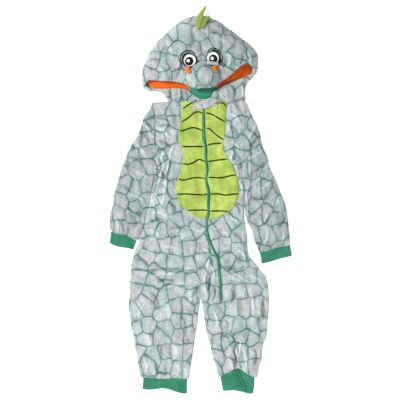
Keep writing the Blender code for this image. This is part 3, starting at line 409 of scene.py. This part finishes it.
def fleeceMaterial(name, tone=1.0, scaleOval=None):
    # plush with printed cobbles: grey cells, mint towards their soft teal outlines
    mat, tree, shader = newMaterial(name, 0.95, 0.25, 0.5, 0.15)
    coords = node(tree, "ShaderNodeTexCoord").outputs["Object"]
    flat = node(tree, "ShaderNodeMapping", in_Scale=fleeceLook["stretch"], in_Location=fleeceLook["start"])
    tree.links.new(coords, flat.inputs["Vector"])
    bent = warped(tree, flat.outputs["Vector"], fleeceLook["bendScale"], fleeceLook["bend"])
    bent = warped(tree, bent, fleeceLook["fineScale"], fleeceLook["fineBend"])
    cells = []
    for feature in ("F1", "F2"):
        made = node(tree, "ShaderNodeTexVoronoi", voronoi_dimensions="2D", feature=feature,
                    in_Scale=fleeceLook["cellsPerMetre"], in_Randomness=fleeceLook["unevenness"])
        tree.links.new(bent, made.inputs["Vector"])
        cells.append(made)
    distance = joined(tree, "SUBTRACT", cells[1].outputs["Distance"], cells[0].outputs["Distance"])
    if scaleOval:  # one round cell, printed on the muzzle
        reach = ovalDistance(tree, warped(tree, coords, 30.0, 0.006), scaleOval)
        ring = joined(tree, "ABSOLUTE", joined(tree, "SUBTRACT", reach, 1.0), 0.0)
        inside = joined(tree, "MULTIPLY", joined(tree, "LESS_THAN", reach, 1.0), 2.0)
        distance = joined(tree, "MINIMUM", joined(tree, "ADD", distance, inside), ring)
    patches = noise(tree, coords, fleeceLook["patchScale"], 3.0, 0.6).outputs["Fac"]
    body = mixColour(tree, ramp(tree, patches, [(0.34, 0.0), (0.66, 1.0)]),
                     fleeceLook["grey"], fleeceLook["pale"])
    near = ramp(tree, distance, [(0.05, 0.7), (0.52, 0.0)])
    body = mixColour(tree, near, body, fleeceLook["mint"])
    tints = ramp(tree, cells[0].outputs["Color"], [(0.2, (0.93, 1.0, 0.985)), (0.8, (1.03, 0.985, 1.0))])
    body = mixColour(tree, 1.0, body, tints, "MULTIPLY")
    lineNoise = noise(tree, coords, fleeceLook["lineToneScale"], 2.0).outputs["Fac"]
    lineTone = ramp(tree, lineNoise, [(0.40, 0.0), (0.62, 1.0)])
    lineColour = mixColour(tree, lineTone, fleeceLook["teal"], fleeceLook["violet"])
    edge = ramp(tree, distance, [(fleeceLook["lineFull"], 0.9), (fleeceLook["lineGone"], 0.0)],
                "EASE")
    fadingNoise = noise(tree, coords, fleeceLook["fadingScale"], 2.0).outputs["Fac"]
    fading = ramp(tree, fadingNoise, [(0.32, 0.5), (0.56, 1.0)])
    edge = mixColour(tree, 1.0, edge, fading, "MULTIPLY")
    body = mixColour(tree, edge, body, lineColour)
    # random streaks, times tone: a tone below 1 is painted shade on a darker copy of the fleece
    streaks = noise(tree, coords, fleeceLook["streakScale"], 3.0, 0.65).outputs["Fac"]
    shade = ramp(tree, streaks, [(0.32, 0.90 * tone), (0.68, 1.07 * tone)])
    body = mixColour(tree, 1.0, body, shade, "MULTIPLY")
    # painted highlight on crease ridges and painted shade in crease troughs, from the crease height
    ridge = node(tree, "ShaderNodeAttribute", attribute_name="ridge").outputs["Fac"]
    paintedCreaseLight = ramp(tree, joined(tree, "MULTIPLY_ADD", ridge, 0.125), [(0.12, 0.62), (0.5, 1.0), (0.92, 1.30)])
    body = mixColour(tree, 1.0, body, paintedCreaseLight, "MULTIPLY")
    tree.links.new(body, shader.inputs["Base Color"])
    nap = noise(tree, coords, fleeceLook["napScale"], 5.0, 0.7)
    addBump(tree, shader, nap.outputs["Fac"], fleeceLook["napStrength"], fleeceLook["napDepth"])
    return mat


def plainCloth(name, colour, dark, roughness, sheen, grain=700.0, bump=0.3):
    mat, tree, shader = newMaterial(name, roughness, sheen, 0.4, 0.25)
    coords = node(tree, "ShaderNodeTexCoord").outputs["Object"]
    patches = noise(tree, coords, 22.0, 3.0, 0.6)
    patchy = ramp(tree, patches.outputs["Fac"], [(0.35, 0.0), (0.62, 1.0)])
    body = mixColour(tree, patchy, dark, colour)
    fibres = noise(tree, coords, grain, 3.0, 0.7)
    tone = ramp(tree, fibres.outputs["Fac"], [(0.3, 0.84), (0.7, 1.08)])
    body = mixColour(tree, 1.0, body, tone, "MULTIPLY")
    tree.links.new(body, shader.inputs["Base Color"])
    addBump(tree, shader, fibres.outputs["Fac"], bump, 0.001)
    return mat


fleece = fleeceMaterial("printed fleece")
# the hood and sleeves take darker copies of the same fleece: painted shade
hoodFleecePaintedShade = fleeceMaterial("hood fleece with painted shade", 0.92)
sleeveFleecePaintedShade = fleeceMaterial("sleeve fleece with painted shade", 0.88)
muzzleFleece = fleeceMaterial("muzzle fleece", 1.0, (15.0, 371.0, 25.0, 29.0))
fluff = plainCloth("grey fluff", (0.56, 0.585, 0.59), (0.44, 0.47, 0.48), 0.95, 0.4, 520.0, 0.7)
belly = plainCloth("lime plush", (0.415, 0.530, 0.110), (0.285, 0.395, 0.060), 0.9, 0.2, 160.0, 0.7)
stripeCloth = plainCloth("dark stripe", (0.018, 0.028, 0.012), (0.010, 0.016, 0.008), 0.9, 0.1)
ribCloth = plainCloth("green rib", (0.036, 0.225, 0.128), (0.026, 0.175, 0.098), 0.85, 0.15, 600.0, 0.3)
ribTree = ribCloth.node_tree
ribWave = node(ribTree, "ShaderNodeTexWave", bands_direction="X", in_Scale=120.0, in_Distortion=0.6)
ribTree.links.new(ribTree.nodes["Texture Coordinate"].outputs["Object"], ribWave.inputs["Vector"])
addBump(ribTree, ribTree.nodes["Principled BSDF"], ribWave.outputs["Fac"], 0.6, 0.0009)
jersey = plainCloth("green jersey", (0.030, 0.265, 0.140), (0.018, 0.190, 0.100), 0.8, 0.15, 700.0, 0.25)
orange = plainCloth("orange jersey", (0.840, 0.150, 0.012), (0.640, 0.095, 0.006), 0.82, 0.15, 700.0, 0.25)
felt = plainCloth("lime felt", (0.250, 0.345, 0.060), (0.175, 0.265, 0.045), 0.95, 0.2, 420.0, 0.6)
zipTape = plainCloth("zip tape", (0.036, 0.235, 0.140), (0.028, 0.190, 0.110), 0.7, 0.1, 900.0, 0.3)
zipCoil = plainCloth("zip coil", (0.042, 0.270, 0.150), (0.032, 0.215, 0.118), 0.45, 0.0, 900.0, 0.1)
ringPlastic = plainCloth("ring plastic", (0.85, 0.86, 0.85), (0.72, 0.74, 0.73), 0.3, 0.0, 300.0, 0.05)
# a dark rib for the painted shadow beside the ankle cuff's fold
foldShadowCloth = plainCloth("painted shadow by the cuff fold", (0.012, 0.090, 0.050), (0.008, 0.065, 0.035), 0.9, 0.1, 600.0, 0.3)
thread = plainCloth("olive thread", (0.190, 0.300, 0.060), (0.150, 0.240, 0.045), 0.7, 0.0, 900.0, 0.1)
print("materials made")


def dress(piece, slot, *mats):
    piece.data.materials.clear()
    for mat in mats:
        piece.data.materials.append(mat)


def addedPiece(name, work, slot, mat, thickness, rounded=True):
    # a thin piece that only the scene has, from an open sheet in work
    piece = meshObject(name, work)
    piece.modifiers.new("thickness", "SOLIDIFY").thickness = thickness * mm
    if rounded:
        smooth = piece.modifiers.new("smooth", "SUBSURF")
        smooth.levels = smooth.render_levels = 1
    plainMesh(piece)
    piece.data.shade_smooth()
    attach(piece, "root")
    dress(piece, slot, mat)
    return piece


fleecePieces = {}
for nodeName in ("front_right", "front_left", "back_right", "back_left", "sleeve_right", "sleeve_left"):
    isBack = nodeName.startswith("back")
    cloth = sleeveFleecePaintedShade if nodeName.startswith("sleeve") else fleece
    levels = 1 if isBack else 2
    fleecePieces[nodeName] = clothPiece(nodeName, "cloth", "fleece", cloth, levels=levels, fine=not isBack)
for nodeName in ("hood_right", "hood_left"):
    fleecePieces[nodeName] = clothPiece(nodeName, "cloth", "fleece", hoodFleecePaintedShade, orange, fine=True)
print("fleece panels made")


def topOf(trees, x, y):
    # how high the highest of the pieces is at a place
    best = None
    for tree in trees:
        hit = tree.ray_cast(Vector((x, y, 0.3)), Vector((0, 0, -1)))[0]
        if hit is not None and (best is None or hit.z > best):
            best = hit.z
    return best


def treeOf(*pieces):
    graph = bpy.context.evaluated_depsgraph_get()
    return [BVHTree.FromObject(piece, graph) for piece in pieces]


bellyPieces = {}
for side in ("right", "left"):
    bellyPieces[side] = clothPiece("belly_" + side, "cloth", "belly", belly, fine=True)

# Belly stripes: points from the wearer's right to left, in millimetres, on each side of the zip.
stripes = {
    "width": 5.0, "height": 0.8, "sink": 0.15, "wall": 0.5, "step": 4.0,
    "right": [
        [(-52, 274), (-36, 285), (-10, 301)],
        [(-53, 234), (-34, 247), (-18, 260), (2, 262), (10, 257)],
        [(-65, 206), (-48, 209), (-18, 215), (-2, 212), (9, 208)],
        [(-57, 158), (-30, 160), (11, 160)],
        [(-52, 109), (-37, 107), (-18, 111), (-2, 120), (16, 115)],
        [(-66, 68), (-50, 59), (-18, 66), (18, 67)],
        [(-70, 20), (-30, 18), (5, 14), (22, 16)],
        [(-38, -32), (-8, -29), (22, -31)],
    ],
    "left": [
        [(56, 289), (70, 289), (79, 281)],
        [(15.5, 262), (38, 257), (56, 244), (73, 233)],
        [(15.5, 214), (30, 212), (50, 194), (71, 181)],
        [(17, 161), (36, 168), (56, 172), (64, 171)],
        [(20, 116), (46, 118), (84, 124)],
        [(23.5, 70), (52, 67), (82, 71), (110, 73)],
        [(27, 17), (52, 19), (82, 16), (116, 19)],
        [(26.5, -32), (56, -33), (84, -34)],
    ],
}


def directions(path):
    turn = np.gradient(path, axis=0)
    return turn / np.linalg.norm(turn, axis=1)[:, None]


def joinRows(work, rows):
    # faces between each row of corners and the next
    for a, b in zip(rows, rows[1:]):
        for k in range(len(a) - 1):
            work.faces.new((a[k], a[k + 1], b[k + 1], b[k]))


def ribbon(work, path, trees):
    # a low rounded band on top of the pieces that the trees hold
    across = ((-0.5, 0.0), (-0.32, 0.8), (0.0, 1.0), (0.32, 0.8), (0.5, 0.0))
    width, height, sink = stripes["width"], stripes["height"], stripes["sink"]
    rows, last = [], None
    for i, ((x, y), (tx, ty)) in enumerate(zip(path, directions(path))):
        centre = place(x, y)
        row = []
        taper = min(1.0, 0.45 + 0.3 * min(i, len(path) - 1 - i))
        for part, rise in across:
            px = centre.x - ty * part * width * taper * mm
            py = centre.y + tx * part * width * taper * mm
            top = topOf(trees, px, py)
            top = last if top is None else top
            if top is None:
                break
            last = top
            row.append(work.verts.new((px, py, top + (rise * height - sink) * mm)))
        if len(row) == len(across):
            rows.append(row)
    joinRows(work, rows)


for side in ("right", "left"):
    work = bmesh.new()
    trees = treeOf(bellyPieces[side])
    for points in stripes[side]:
        ribbon(work, wandered(smoothPath(points, stripes["step"])), trees)
    bmesh.ops.recalc_face_normals(work, faces=work.faces)
    for face in work.faces:
        if face.normal.z < 0:
            face.normal_flip()
    addedPiece(
        "stripes_" + side, work, "belly", stripeCloth, stripes["wall"], rounded=False
    )
print("belly made")

# Seams: the pile of the two pieces closes over them, as a soft low band.
seamWalk = (-0.5, -0.27, 0.0, 0.27, 0.5)
seamRise = (0.0, 0.75, 1.0, 0.75, 0.0)
seamFit = {"wall": 0.6, "lowest": 3.2, "step": 2.5, "drop": 1.2, "sink": 0.1, "every": 3.0}  # in millimetres
seamLines = {
    "armhole_right": ((-142, 291), (-141.5, 267), (-140.4, 235), (-139, 201), (-137.8, 165), (-136.6, 132),
                      (-135.6, 106)),
    "armhole_left": ((138.6, 291), (136.9, 267), (134.3, 235), (131.5, 201), (128.5, 165), (125.8, 132),
                     (123.6, 106)),
    "neck": ((-97, 295), (-74, 296), (-52.5, 296.5), (-20, 297.5), (13.5, 298.3), (48, 298), (82.5, 297.4),
             (110, 295.5), (133, 294)),
    "below_zip": ((62.6, -300), (66, -330), (76, -366), (86.5, -399), (95, -432), (102, -465), (107.5, -486),
                  (108.4, -499)),
    "hood_middle": ((8.3, 405), (5, 446), (1.8, 515), (0.4, 546)),
    "wrist_right": ((-272, -89.5), (-228, -104), (-186, -118.5)),
    "wrist_left": ((270.5, -131), (222, -142.8), (176, -154)),
    "ankle_right": ((-179, -529.6), (-105, -532), (-34, -534)),
    "ankle_left": ((56, -530), (82, -515.5), (108.5, -500.5), (141, -517), (171, -530)),
}


def seamBand(name, points, width, rise, trees, mat, slot):
    # a soft low band along a seam, lying on the pieces that the trees hold
    path = wandered(smoothPath(points, seamFit["every"]))
    work = bmesh.new()
    rows = []
    for (x, y), (tx, ty) in zip(path, directions(path)):
        spots = [(x - ty * part * width, y + tx * part * width) for part in seamWalk]
        tops = []
        for sx, sy in spots:
            at = place(sx, sy)
            top = topOf(trees, at.x, at.y)
            tops.append(None if top is None else top / mm)
        known = [top for top in tops if top is not None and top > seamFit["lowest"]]
        if len(known) < 2:
            continue
        high = max(known)  # where the cloth ends or steps down, the band goes just below its top
        tops = [top if top and top >= high - seamFit["step"] else high - seamFit["drop"] for top in tops]
        tops[2] = max(tops[2], (tops[1] + tops[3]) / 2)
        rows.append([work.verts.new(place(sx, sy, top + rise * lift - seamFit["sink"] * (lift == 0)))
                     for (sx, sy), top, lift in zip(spots, tops, seamRise)])
    joinRows(work, rows)
    bmesh.ops.recalc_face_normals(work, faces=work.faces)
    if sum(face.normal.z for face in work.faces) < 0:
        bmesh.ops.reverse_faces(work, faces=work.faces)
    return addedPiece(name, work, slot, mat, seamFit["wall"])


# Zip: tape from the frame, with a coil of small teeth that a node tree sets along its middle.
tooth = {"gap": 2.4, "size": (1.0, 4.6, 1.3), "lift": 0.75, "step": 5.0}


def startTree(name, valueName):
    # a node tree that takes a shape and one number
    tree = bpy.data.node_groups.new(name, "GeometryNodeTree")
    sockets = tree.interface
    sockets.new_socket("Geometry", in_out="INPUT", socket_type="NodeSocketGeometry")
    value = sockets.new_socket(valueName, in_out="INPUT", socket_type="NodeSocketFloat")
    sockets.new_socket("Geometry", in_out="OUTPUT", socket_type="NodeSocketGeometry")
    return tree, tree.nodes.new("NodeGroupInput"), value.identifier


def endTree(tree, instances, mat):
    # real copies in one material leave the tree
    realize = tree.nodes.new("GeometryNodeRealizeInstances")
    paint = tree.nodes.new("GeometryNodeSetMaterial")
    paint.inputs["Material"].default_value = mat
    end = tree.nodes.new("NodeGroupOutput")
    tree.links.new(instances, realize.inputs[0])
    tree.links.new(realize.outputs[0], paint.inputs[0])
    tree.links.new(paint.outputs[0], end.inputs[0])


def alongPathTree(name, size, mat):
    # sets a small box every so often along a line, turned with it
    tree, start, gap = startTree(name, "Gap")
    curve = tree.nodes.new("GeometryNodeMeshToCurve")
    resample = tree.nodes.new("GeometryNodeResampleCurve")
    resample.mode = "LENGTH"
    points = tree.nodes.new("GeometryNodeCurveToPoints")
    points.mode = "EVALUATED"
    box = tree.nodes.new("GeometryNodeMeshCube")
    box.inputs["Size"].default_value = [side * mm for side in size]
    instance = tree.nodes.new("GeometryNodeInstanceOnPoints")
    link = tree.links.new
    link(start.outputs["Geometry"], curve.inputs[0])
    link(curve.outputs[0], resample.inputs["Curve"])
    link(start.outputs["Gap"], resample.inputs["Length"])
    link(resample.outputs[0], points.inputs[0])
    link(points.outputs["Points"], instance.inputs["Points"])
    link(points.outputs["Rotation"], instance.inputs["Rotation"])
    link(box.outputs["Mesh"], instance.inputs["Instance"])
    endTree(tree, instance.outputs[0], mat)
    return tree, gap


def runTree(piece, tree, values):
    modifier = piece.modifiers.new("along", "NODES")
    modifier.node_group = tree
    for identifier, value in values.items():
        modifier[identifier] = value
    plainMesh(piece)


def setAlong(name, points, look, trees, mat):
    # small boxes along a line that lies on the pieces that the trees hold
    found = []
    for x, y in wandered(smoothPath(points, look["step"])):
        at = place(x, y)
        top = topOf(trees, at.x, at.y)
        if top is not None:
            found.append((at.x, at.y, top + look["lift"] * mm))
    mesh = bpy.data.meshes.new(name)
    mesh.from_pydata(found, [(i, i + 1) for i in range(len(found) - 1)], [])
    row = newObject(name, mesh)
    tree, gap = alongPathTree(name.replace("_", " "), look["size"], mat)
    runTree(row, tree, {gap: look["gap"] * mm})
    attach(row, "root")
    return row


zipMiddle = [
    (12.9, 268), (12.5, 234), (12.0, 201), (14.5, 165), (17, 132), (19, 102), (21, 66), (24, 33), (25, -3),
    (24, -33), (22, -58.5), (21.5, -93), (26.5, -120), (37.5, -147), (52.5, -174), (59, -206), (60.5, -240),
    (61.5, -270), (62.4, -292),
]
zipCloth = clothPiece("zip", "tape", "zip", zipTape, levels=1)
zipTree = treeOf(zipCloth, bellyPieces["right"], bellyPieces["left"], fleecePieces["front_right"],
                 fleecePieces["front_left"])
zipBed = seamBand("zip_bed", [(13.2, 280)] + zipMiddle[1:], 7.6, 0.55, zipTree, zipCoil, "zip")
zipTeeth = setAlong("zip_teeth", zipMiddle, tooth, zipTree, zipCoil)
print("zip made")

# Stitches along the belly panel's outer edge, a little inside it
panelEdges = {
    "right": ((-49, 290), (-50.6, 268), (-51.8, 236), (-62, 205), (-57.8, 168), (-49.4, 136), (-52, 106),
              (-61, 70), (-69.6, 36), (-65, 6), (-53, -15), (-36, -31), (-12, -46), (10, -54)),
    "left": ((78.6, 290), (74, 268), (72.6, 236), (73, 205), (67.8, 166), (78, 137), (94, 106),
             (109, 72), (113.6, 36), (109.6, 3), (100, -16), (84, -34), (62, -47), (36, -54)),
}
stitch = {"gap": 5.4, "size": (3.2, 0.8, 0.5), "lift": 0.1, "step": 4.0}
for side, points in panelEdges.items():
    trees = treeOf(bellyPieces[side])
    setAlong("stitches_" + side, points, stitch, trees, thread)

# Cuffs, facing and lining
for nodeName in ("wrist_cuff_right", "wrist_cuff_left", "ankle_cuff_right", "ankle_cuff_left"):
    fleecePieces[nodeName] = clothPiece(nodeName, "knit", "rib", ribCloth, strength=0.5)
flatPieces = {"neck_facing": clothPiece("neck_facing", "cloth", "rib", jersey, levels=3, strength=0.6)}
for nodeName in ("lining_right", "lining_left"):
    flatPieces[nodeName] = clothPiece(nodeName, "cloth", "lining", orange, levels=3, strength=0.6)


def paintInside(piece, above):
    # the hood is lined: the wall's inner face takes the lining's colour
    for face in piece.data.polygons:
        if face.normal.z < -0.25 and face.center.z > above * mm:
            face.material_index = 1


for nodeName in ("hood_right", "hood_left"):
    paintInside(fleecePieces[nodeName], 5.0)
seamTrees = treeOf(*fleecePieces.values())
seamBands = {}
for name, points in seamLines.items():
    wide = 5.0 if name.startswith(("wrist", "ankle")) else 6.0
    trees = seamTrees + treeOf(*bellyPieces.values()) if name == "neck" else seamTrees
    bandCloth = hoodFleecePaintedShade if name.startswith("hood") else fleece
    seamBands[name] = seamBand("seam_" + name, points, wide, 1.0, trees, bandCloth, "fleece")
# the left ankle cuff is folded over on itself along one line, with a dark strip beside it as painted shadow
cuffFold = {"points": ((112, -509), (117, -524), (122, -540), (134, -569)), "edge": -5.4}
cuffTrees = treeOf(fleecePieces["ankle_cuff_left"])
foldShadowPath = [(x + cuffFold["edge"], y) for x, y in cuffFold["points"]]
seamBand("ankle_cuff_fold", cuffFold["points"], 9.0, 2.4, cuffTrees, ribCloth, "rib")
seamBand("ankle_cuff_fold_shadow", foldShadowPath, 2.6, 0.4, cuffTrees, foldShadowCloth, "rib")
print("cuffs, seams and lining made")

# Hood's centre-back seam: a tape over it, inside, from the nape up
backTape = {"x": 13.0, "width": 40.0, "narrowing": 0.6, "top": 1.5, "wall": 1.2, "from": 340.0, "to": 470.0}
work = bmesh.new()
bmesh.ops.create_grid(work, x_segments=8, y_segments=24, size=0.5)
for vert in work.verts:
    across = backTape["width"] * (0.5 - vert.co.y * backTape["narrowing"])
    along = backTape["from"] + (vert.co.y + 0.5) * (backTape["to"] - backTape["from"])
    vert.co = place(backTape["x"] + vert.co.x * across, along, backTape["top"])
addedPiece("hood_back_tape", work, "fleece", hoodFleecePaintedShade, backTape["wall"], rounded=False)

# Muzzle, eyes, cheeks, crest, neck tab and press-stud
muzzle = clothPiece("muzzle", "pad", "fleece", muzzleFleece, levels=3, strength=0.4)
eyeLook = {"wider": 1.17, "white": 15.6, "rim": 18.4, "pupil": 13.0, "light": 4.6, "lightX": -3.2,
           "lightY": 1.5, "drop": 2.0, "inward": 1.3, "upward": 0.8, "span": 25.0}


def eyeMaterial(name, x, y):
    # rings a little inward of the patch's middle: dark pupil, white, a grey ring and a dark rim
    mat, tree, shader = newMaterial(name, 0.8, 0.0, 0.4, 0.2)
    coords = node(tree, "ShaderNodeTexCoord").outputs["Object"]
    span = eyeLook["span"]

    def reach(cx, cy):
        # the distance from a centre, as a share of the span
        return ovalDistance(tree, coords, (cx, cy, span, span))

    dark, white, grey = (0.003, 0.0035, 0.004), (0.86, 0.87, 0.87), (0.45, 0.49, 0.49)
    rings = [(0.0, white), (eyeLook["white"] / span, grey), (eyeLook["rim"] / span, dark)]
    inner = x + eyeLook["inward"] * (1 if x < 0 else -1)
    low = y - eyeLook["drop"]
    body = ramp(tree, reach(inner, y + eyeLook["upward"]), rings, "CONSTANT")
    pupil = ramp(tree, reach(x, low), [(0.0, 1.0), (eyeLook["pupil"] / span, 0.0)], "CONSTANT")
    body = mixColour(tree, pupil, body, dark)
    spot = ramp(tree, reach(x + eyeLook["lightX"], low + eyeLook["lightY"]),
                [(0.0, 1.0), (eyeLook["light"] / span, 0.0)], "CONSTANT")
    body = mixColour(tree, spot, body, (0.93, 0.93, 0.93))
    threads = noise(tree, coords, 1100.0, 2.0)
    tree.links.new(body, shader.inputs["Base Color"])
    addBump(tree, shader, threads.outputs["Fac"], 0.25, 0.0006)
    return mat


facePieces = {}
eyes = {"eye_right": (-32.0, 416.0), "eye_left": (39.5, 423.0)}
for nodeName, (x, y) in eyes.items():
    cloth = eyeMaterial(nodeName + " cloth", x, y)
    piece = clothPiece(nodeName, "patch", "eye", cloth, levels=3, strength=0.7)
    middle = place(x, y)
    for vert in piece.data.vertices:
        vert.co.x = middle.x + (vert.co.x - middle.x) * eyeLook["wider"]
        vert.co.y = middle.y + (vert.co.y - middle.y) * eyeLook["wider"]
    facePieces[nodeName] = piece
for nodeName in ("cheek_right", "cheek_left"):
    facePieces[nodeName] = clothPiece(nodeName, "patch", "lining", orange, levels=3, strength=0.5)
for nodeName in ("crest_spike_long", "crest_spike_short"):
    facePieces[nodeName] = clothPiece(nodeName, "felt", "felt", felt, levels=3, strength=0.5)
tab = clothPiece("neck_tab", "cloth", "fleece", fluff, levels=3, strength=0.8)
ring = clothPiece("press_stud", "ring", "plastic", ringPlastic)
# the muzzle's upper seam stands up as a soft roll in front of the eyes
browPoints = ((-25, 389), (-9, 403), (15, 409.5), (42, 408), (60, 401), (69, 389))
browTrees = treeOf(fleecePieces["hood_right"], fleecePieces["hood_left"], muzzle, facePieces["eye_right"],
                   facePieces["eye_left"])
seamBand("muzzle_roll", browPoints, 11.0, 2.2, browTrees, muzzleFleece, "fleece")
# a plain dark sewn line round the upper outer side of each eye
lidLines = {"right": (-33.0, 418.0, 27.0, 40.0, 215.0), "left": (40.5, 425.0, 27.0, -35.0, 140.0)}
faceTrees = treeOf(fleecePieces["hood_right"], fleecePieces["hood_left"])
for side, (x, y, radius, start, end) in lidLines.items():
    angles = np.radians(np.linspace(start, end, 14))
    arc = [(x + radius * math.cos(a), y + radius * 1.02 * math.sin(a)) for a in angles]
    facePieces["lid_" + side] = seamBand("lid_" + side, arc, 4.4, 0.6, faceTrees, stripeCloth, "eye")
print("face, crest and tab made")

# Pile: short tufts on what faces up and isn't covered, and longer ones on the tab.
pile = {"seed": 11, "tilt": 0.75, "smallest": 0.55, "largest": 1.3, "clear": 0.6, "lowest": 1.5}
# tufts to a square metre, then a tuft's radius and height in millimetres
pileKinds = {
    "panel": (42000.0, 1.3, 2.4), "muzzle": (40000.0, 1.4, 2.0), "tab": (160000.0, 1.1, 3.4),
    "seam": (70000.0, 1.5, 2.4),
}


def pileTree(name, radius, height, mat):
    # sets a small tuft at random places on a piece, leaning a little each way
    tree, start, density = startTree(name, "Density")
    bare = tree.nodes.new("GeometryNodeInputNamedAttribute")
    bare.inputs["Name"].default_value = "pile"
    amount = tree.nodes.new("ShaderNodeMath")
    amount.operation = "MULTIPLY"
    scatter = tree.nodes.new("GeometryNodeDistributePointsOnFaces")
    scatter.inputs["Seed"].default_value = pile["seed"]
    cone = tree.nodes.new("GeometryNodeMeshCone")
    cone.fill_type = "NONE"
    cone.inputs["Vertices"].default_value = 3
    cone.inputs["Radius Bottom"].default_value = radius * mm
    cone.inputs["Radius Top"].default_value = 0.0
    cone.inputs["Depth"].default_value = height * mm
    instance = tree.nodes.new("GeometryNodeInstanceOnPoints")
    turns = tree.nodes.new("FunctionNodeRandomValue")
    turns.data_type = "FLOAT_VECTOR"
    turns.inputs["Min"].default_value = (-pile["tilt"], -pile["tilt"], 0.0)
    turns.inputs["Max"].default_value = (pile["tilt"], pile["tilt"], math.tau)
    turns.inputs["Seed"].default_value = pile["seed"] + 1
    lean = tree.nodes.new("GeometryNodeRotateInstances")
    sizes = tree.nodes.new("FunctionNodeRandomValue")
    sizes.inputs[2].default_value = pile["smallest"]  # its least and most, as single numbers
    sizes.inputs[3].default_value = pile["largest"]
    sizes.inputs["Seed"].default_value = pile["seed"] + 2
    link = tree.links.new
    link(start.outputs["Geometry"], scatter.inputs["Mesh"])
    link(bare.outputs["Attribute"], amount.inputs[0])
    link(start.outputs["Density"], amount.inputs[1])
    link(amount.outputs[0], scatter.inputs["Density"])
    link(scatter.outputs["Points"], instance.inputs["Points"])
    link(scatter.outputs["Rotation"], instance.inputs["Rotation"])
    link(cone.outputs["Mesh"], instance.inputs["Instance"])
    link(sizes.outputs[1], instance.inputs["Scale"])
    link(instance.outputs[0], lean.inputs["Instances"])
    link(turns.outputs["Value"], lean.inputs["Rotation"])
    endTree(tree, lean.outputs[0], mat)
    return tree, density


def markPile(piece, covers):
    # 1 on every corner that faces up with nothing over it
    mesh = piece.data
    layer = mesh.attributes.new("pile", "FLOAT", "POINT")
    values = np.zeros(len(mesh.vertices), np.float32)
    for i, vert in enumerate(mesh.vertices):
        if vert.normal.z < -0.3 or vert.co.z < pile["lowest"] * mm:
            continue
        up = vert.co + Vector((0, 0, pile["clear"] * mm))
        values[i] = not any(tree.ray_cast(up, Vector((0, 0, 1)))[0] for tree in covers)
    layer.data.foreach_set("value", values)


def addPile(piece, covers, kind, mat):
    density, radius, height = pileKinds[kind]
    markPile(piece, covers)
    tufts = newObject(piece.name + "_pile", piece.data.copy())
    tree, densityInput = pileTree(piece.name + " pile", radius, height, mat)
    runTree(tufts, tree, {densityInput: density})
    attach(tufts, "root")
    return tufts


covers = treeOf(bellyPieces["right"], bellyPieces["left"], muzzle, tab, ring, zipCloth, *facePieces.values(),
                seamBands["neck"])
hoodTrees = treeOf(fleecePieces["hood_right"], fleecePieces["hood_left"])
for name, piece in fleecePieces.items():
    if name.startswith(("front", "sleeve", "hood")):
        over = covers if name.startswith("hood") else covers + hoodTrees
        addPile(piece, over, "panel", piece.data.materials[0])
addPile(muzzle, treeOf(tab, ring, zipCloth), "muzzle", muzzleFleece)
addPile(tab, [], "tab", fluff)
for name, band in seamBands.items():
    addPile(band, [], "seam", fleece)

# Table under the garment
table = {"half": 6.0, "below": 0.4, "grey": 0.93, "glow": 0.5}  # a white table, lit from within
half = table["half"]
corners = [(-half, -half, 0), (half, -half, 0), (half, half, 0), (-half, half, 0)]
floorMesh = bpy.data.meshes.new("floor")
floorMesh.from_pydata(corners, [], [(0, 1, 2, 3)])
floor = newObject("floor", floorMesh)
floor.location.z = -table["below"] * mm
floorMat, _, floorShader = newMaterial("pale floor", 0.9)
floorShader.inputs["Base Color"].default_value = (*(table["grey"],) * 3, 1)
floorShader.inputs["Emission Color"].default_value = (1.0, 1.0, 1.0, 1)
floorShader.inputs["Emission Strength"].default_value = table["glow"]
floor.data.materials.append(floorMat)
# Light and camera
world = bpy.data.worlds.new("studio")
world.use_nodes = True
sky = world.node_tree.nodes["Background"]
sky.inputs["Color"].default_value = (0.96, 0.98, 1.0, 1)
sky.inputs["Strength"].default_value = 0.40
bpy.context.scene.world = world
lights = {  # place, size and power
    "key": ((-6.4, 2.9, 5.0), 1.7, 900.0),
    "fill": ((0.4, -3.2, 2.6), 2.6, 110.0),
}
for name, (spot, size, power) in lights.items():
    lamp = bpy.data.lights.new(name, "AREA")
    lamp.size = size
    lamp.energy = power
    holder = bpy.data.objects.new(name, lamp)
    holder.location = spot
    holder.rotation_euler = (-Vector(spot)).to_track_quat("-Z", "Y").to_euler()
    bpy.context.scene.collection.objects.link(holder)

lens = {"height": 6.0, "width": 1.2, "sensor": 36.0}
cameraData = bpy.data.cameras.new("camera")
cameraData.sensor_width = lens["sensor"]
cameraData.lens = lens["sensor"] * lens["height"] / lens["width"]
cameraObject = bpy.data.objects.new("camera", cameraData)
cameraObject.location = (layout["shiftX"] * mm, layout["shiftY"] * mm, lens["height"])
bpy.context.scene.collection.objects.link(cameraObject)
bpy.context.scene.camera = cameraObject
bpy.context.scene.view_settings.view_transform = "Standard"

print("scene made")
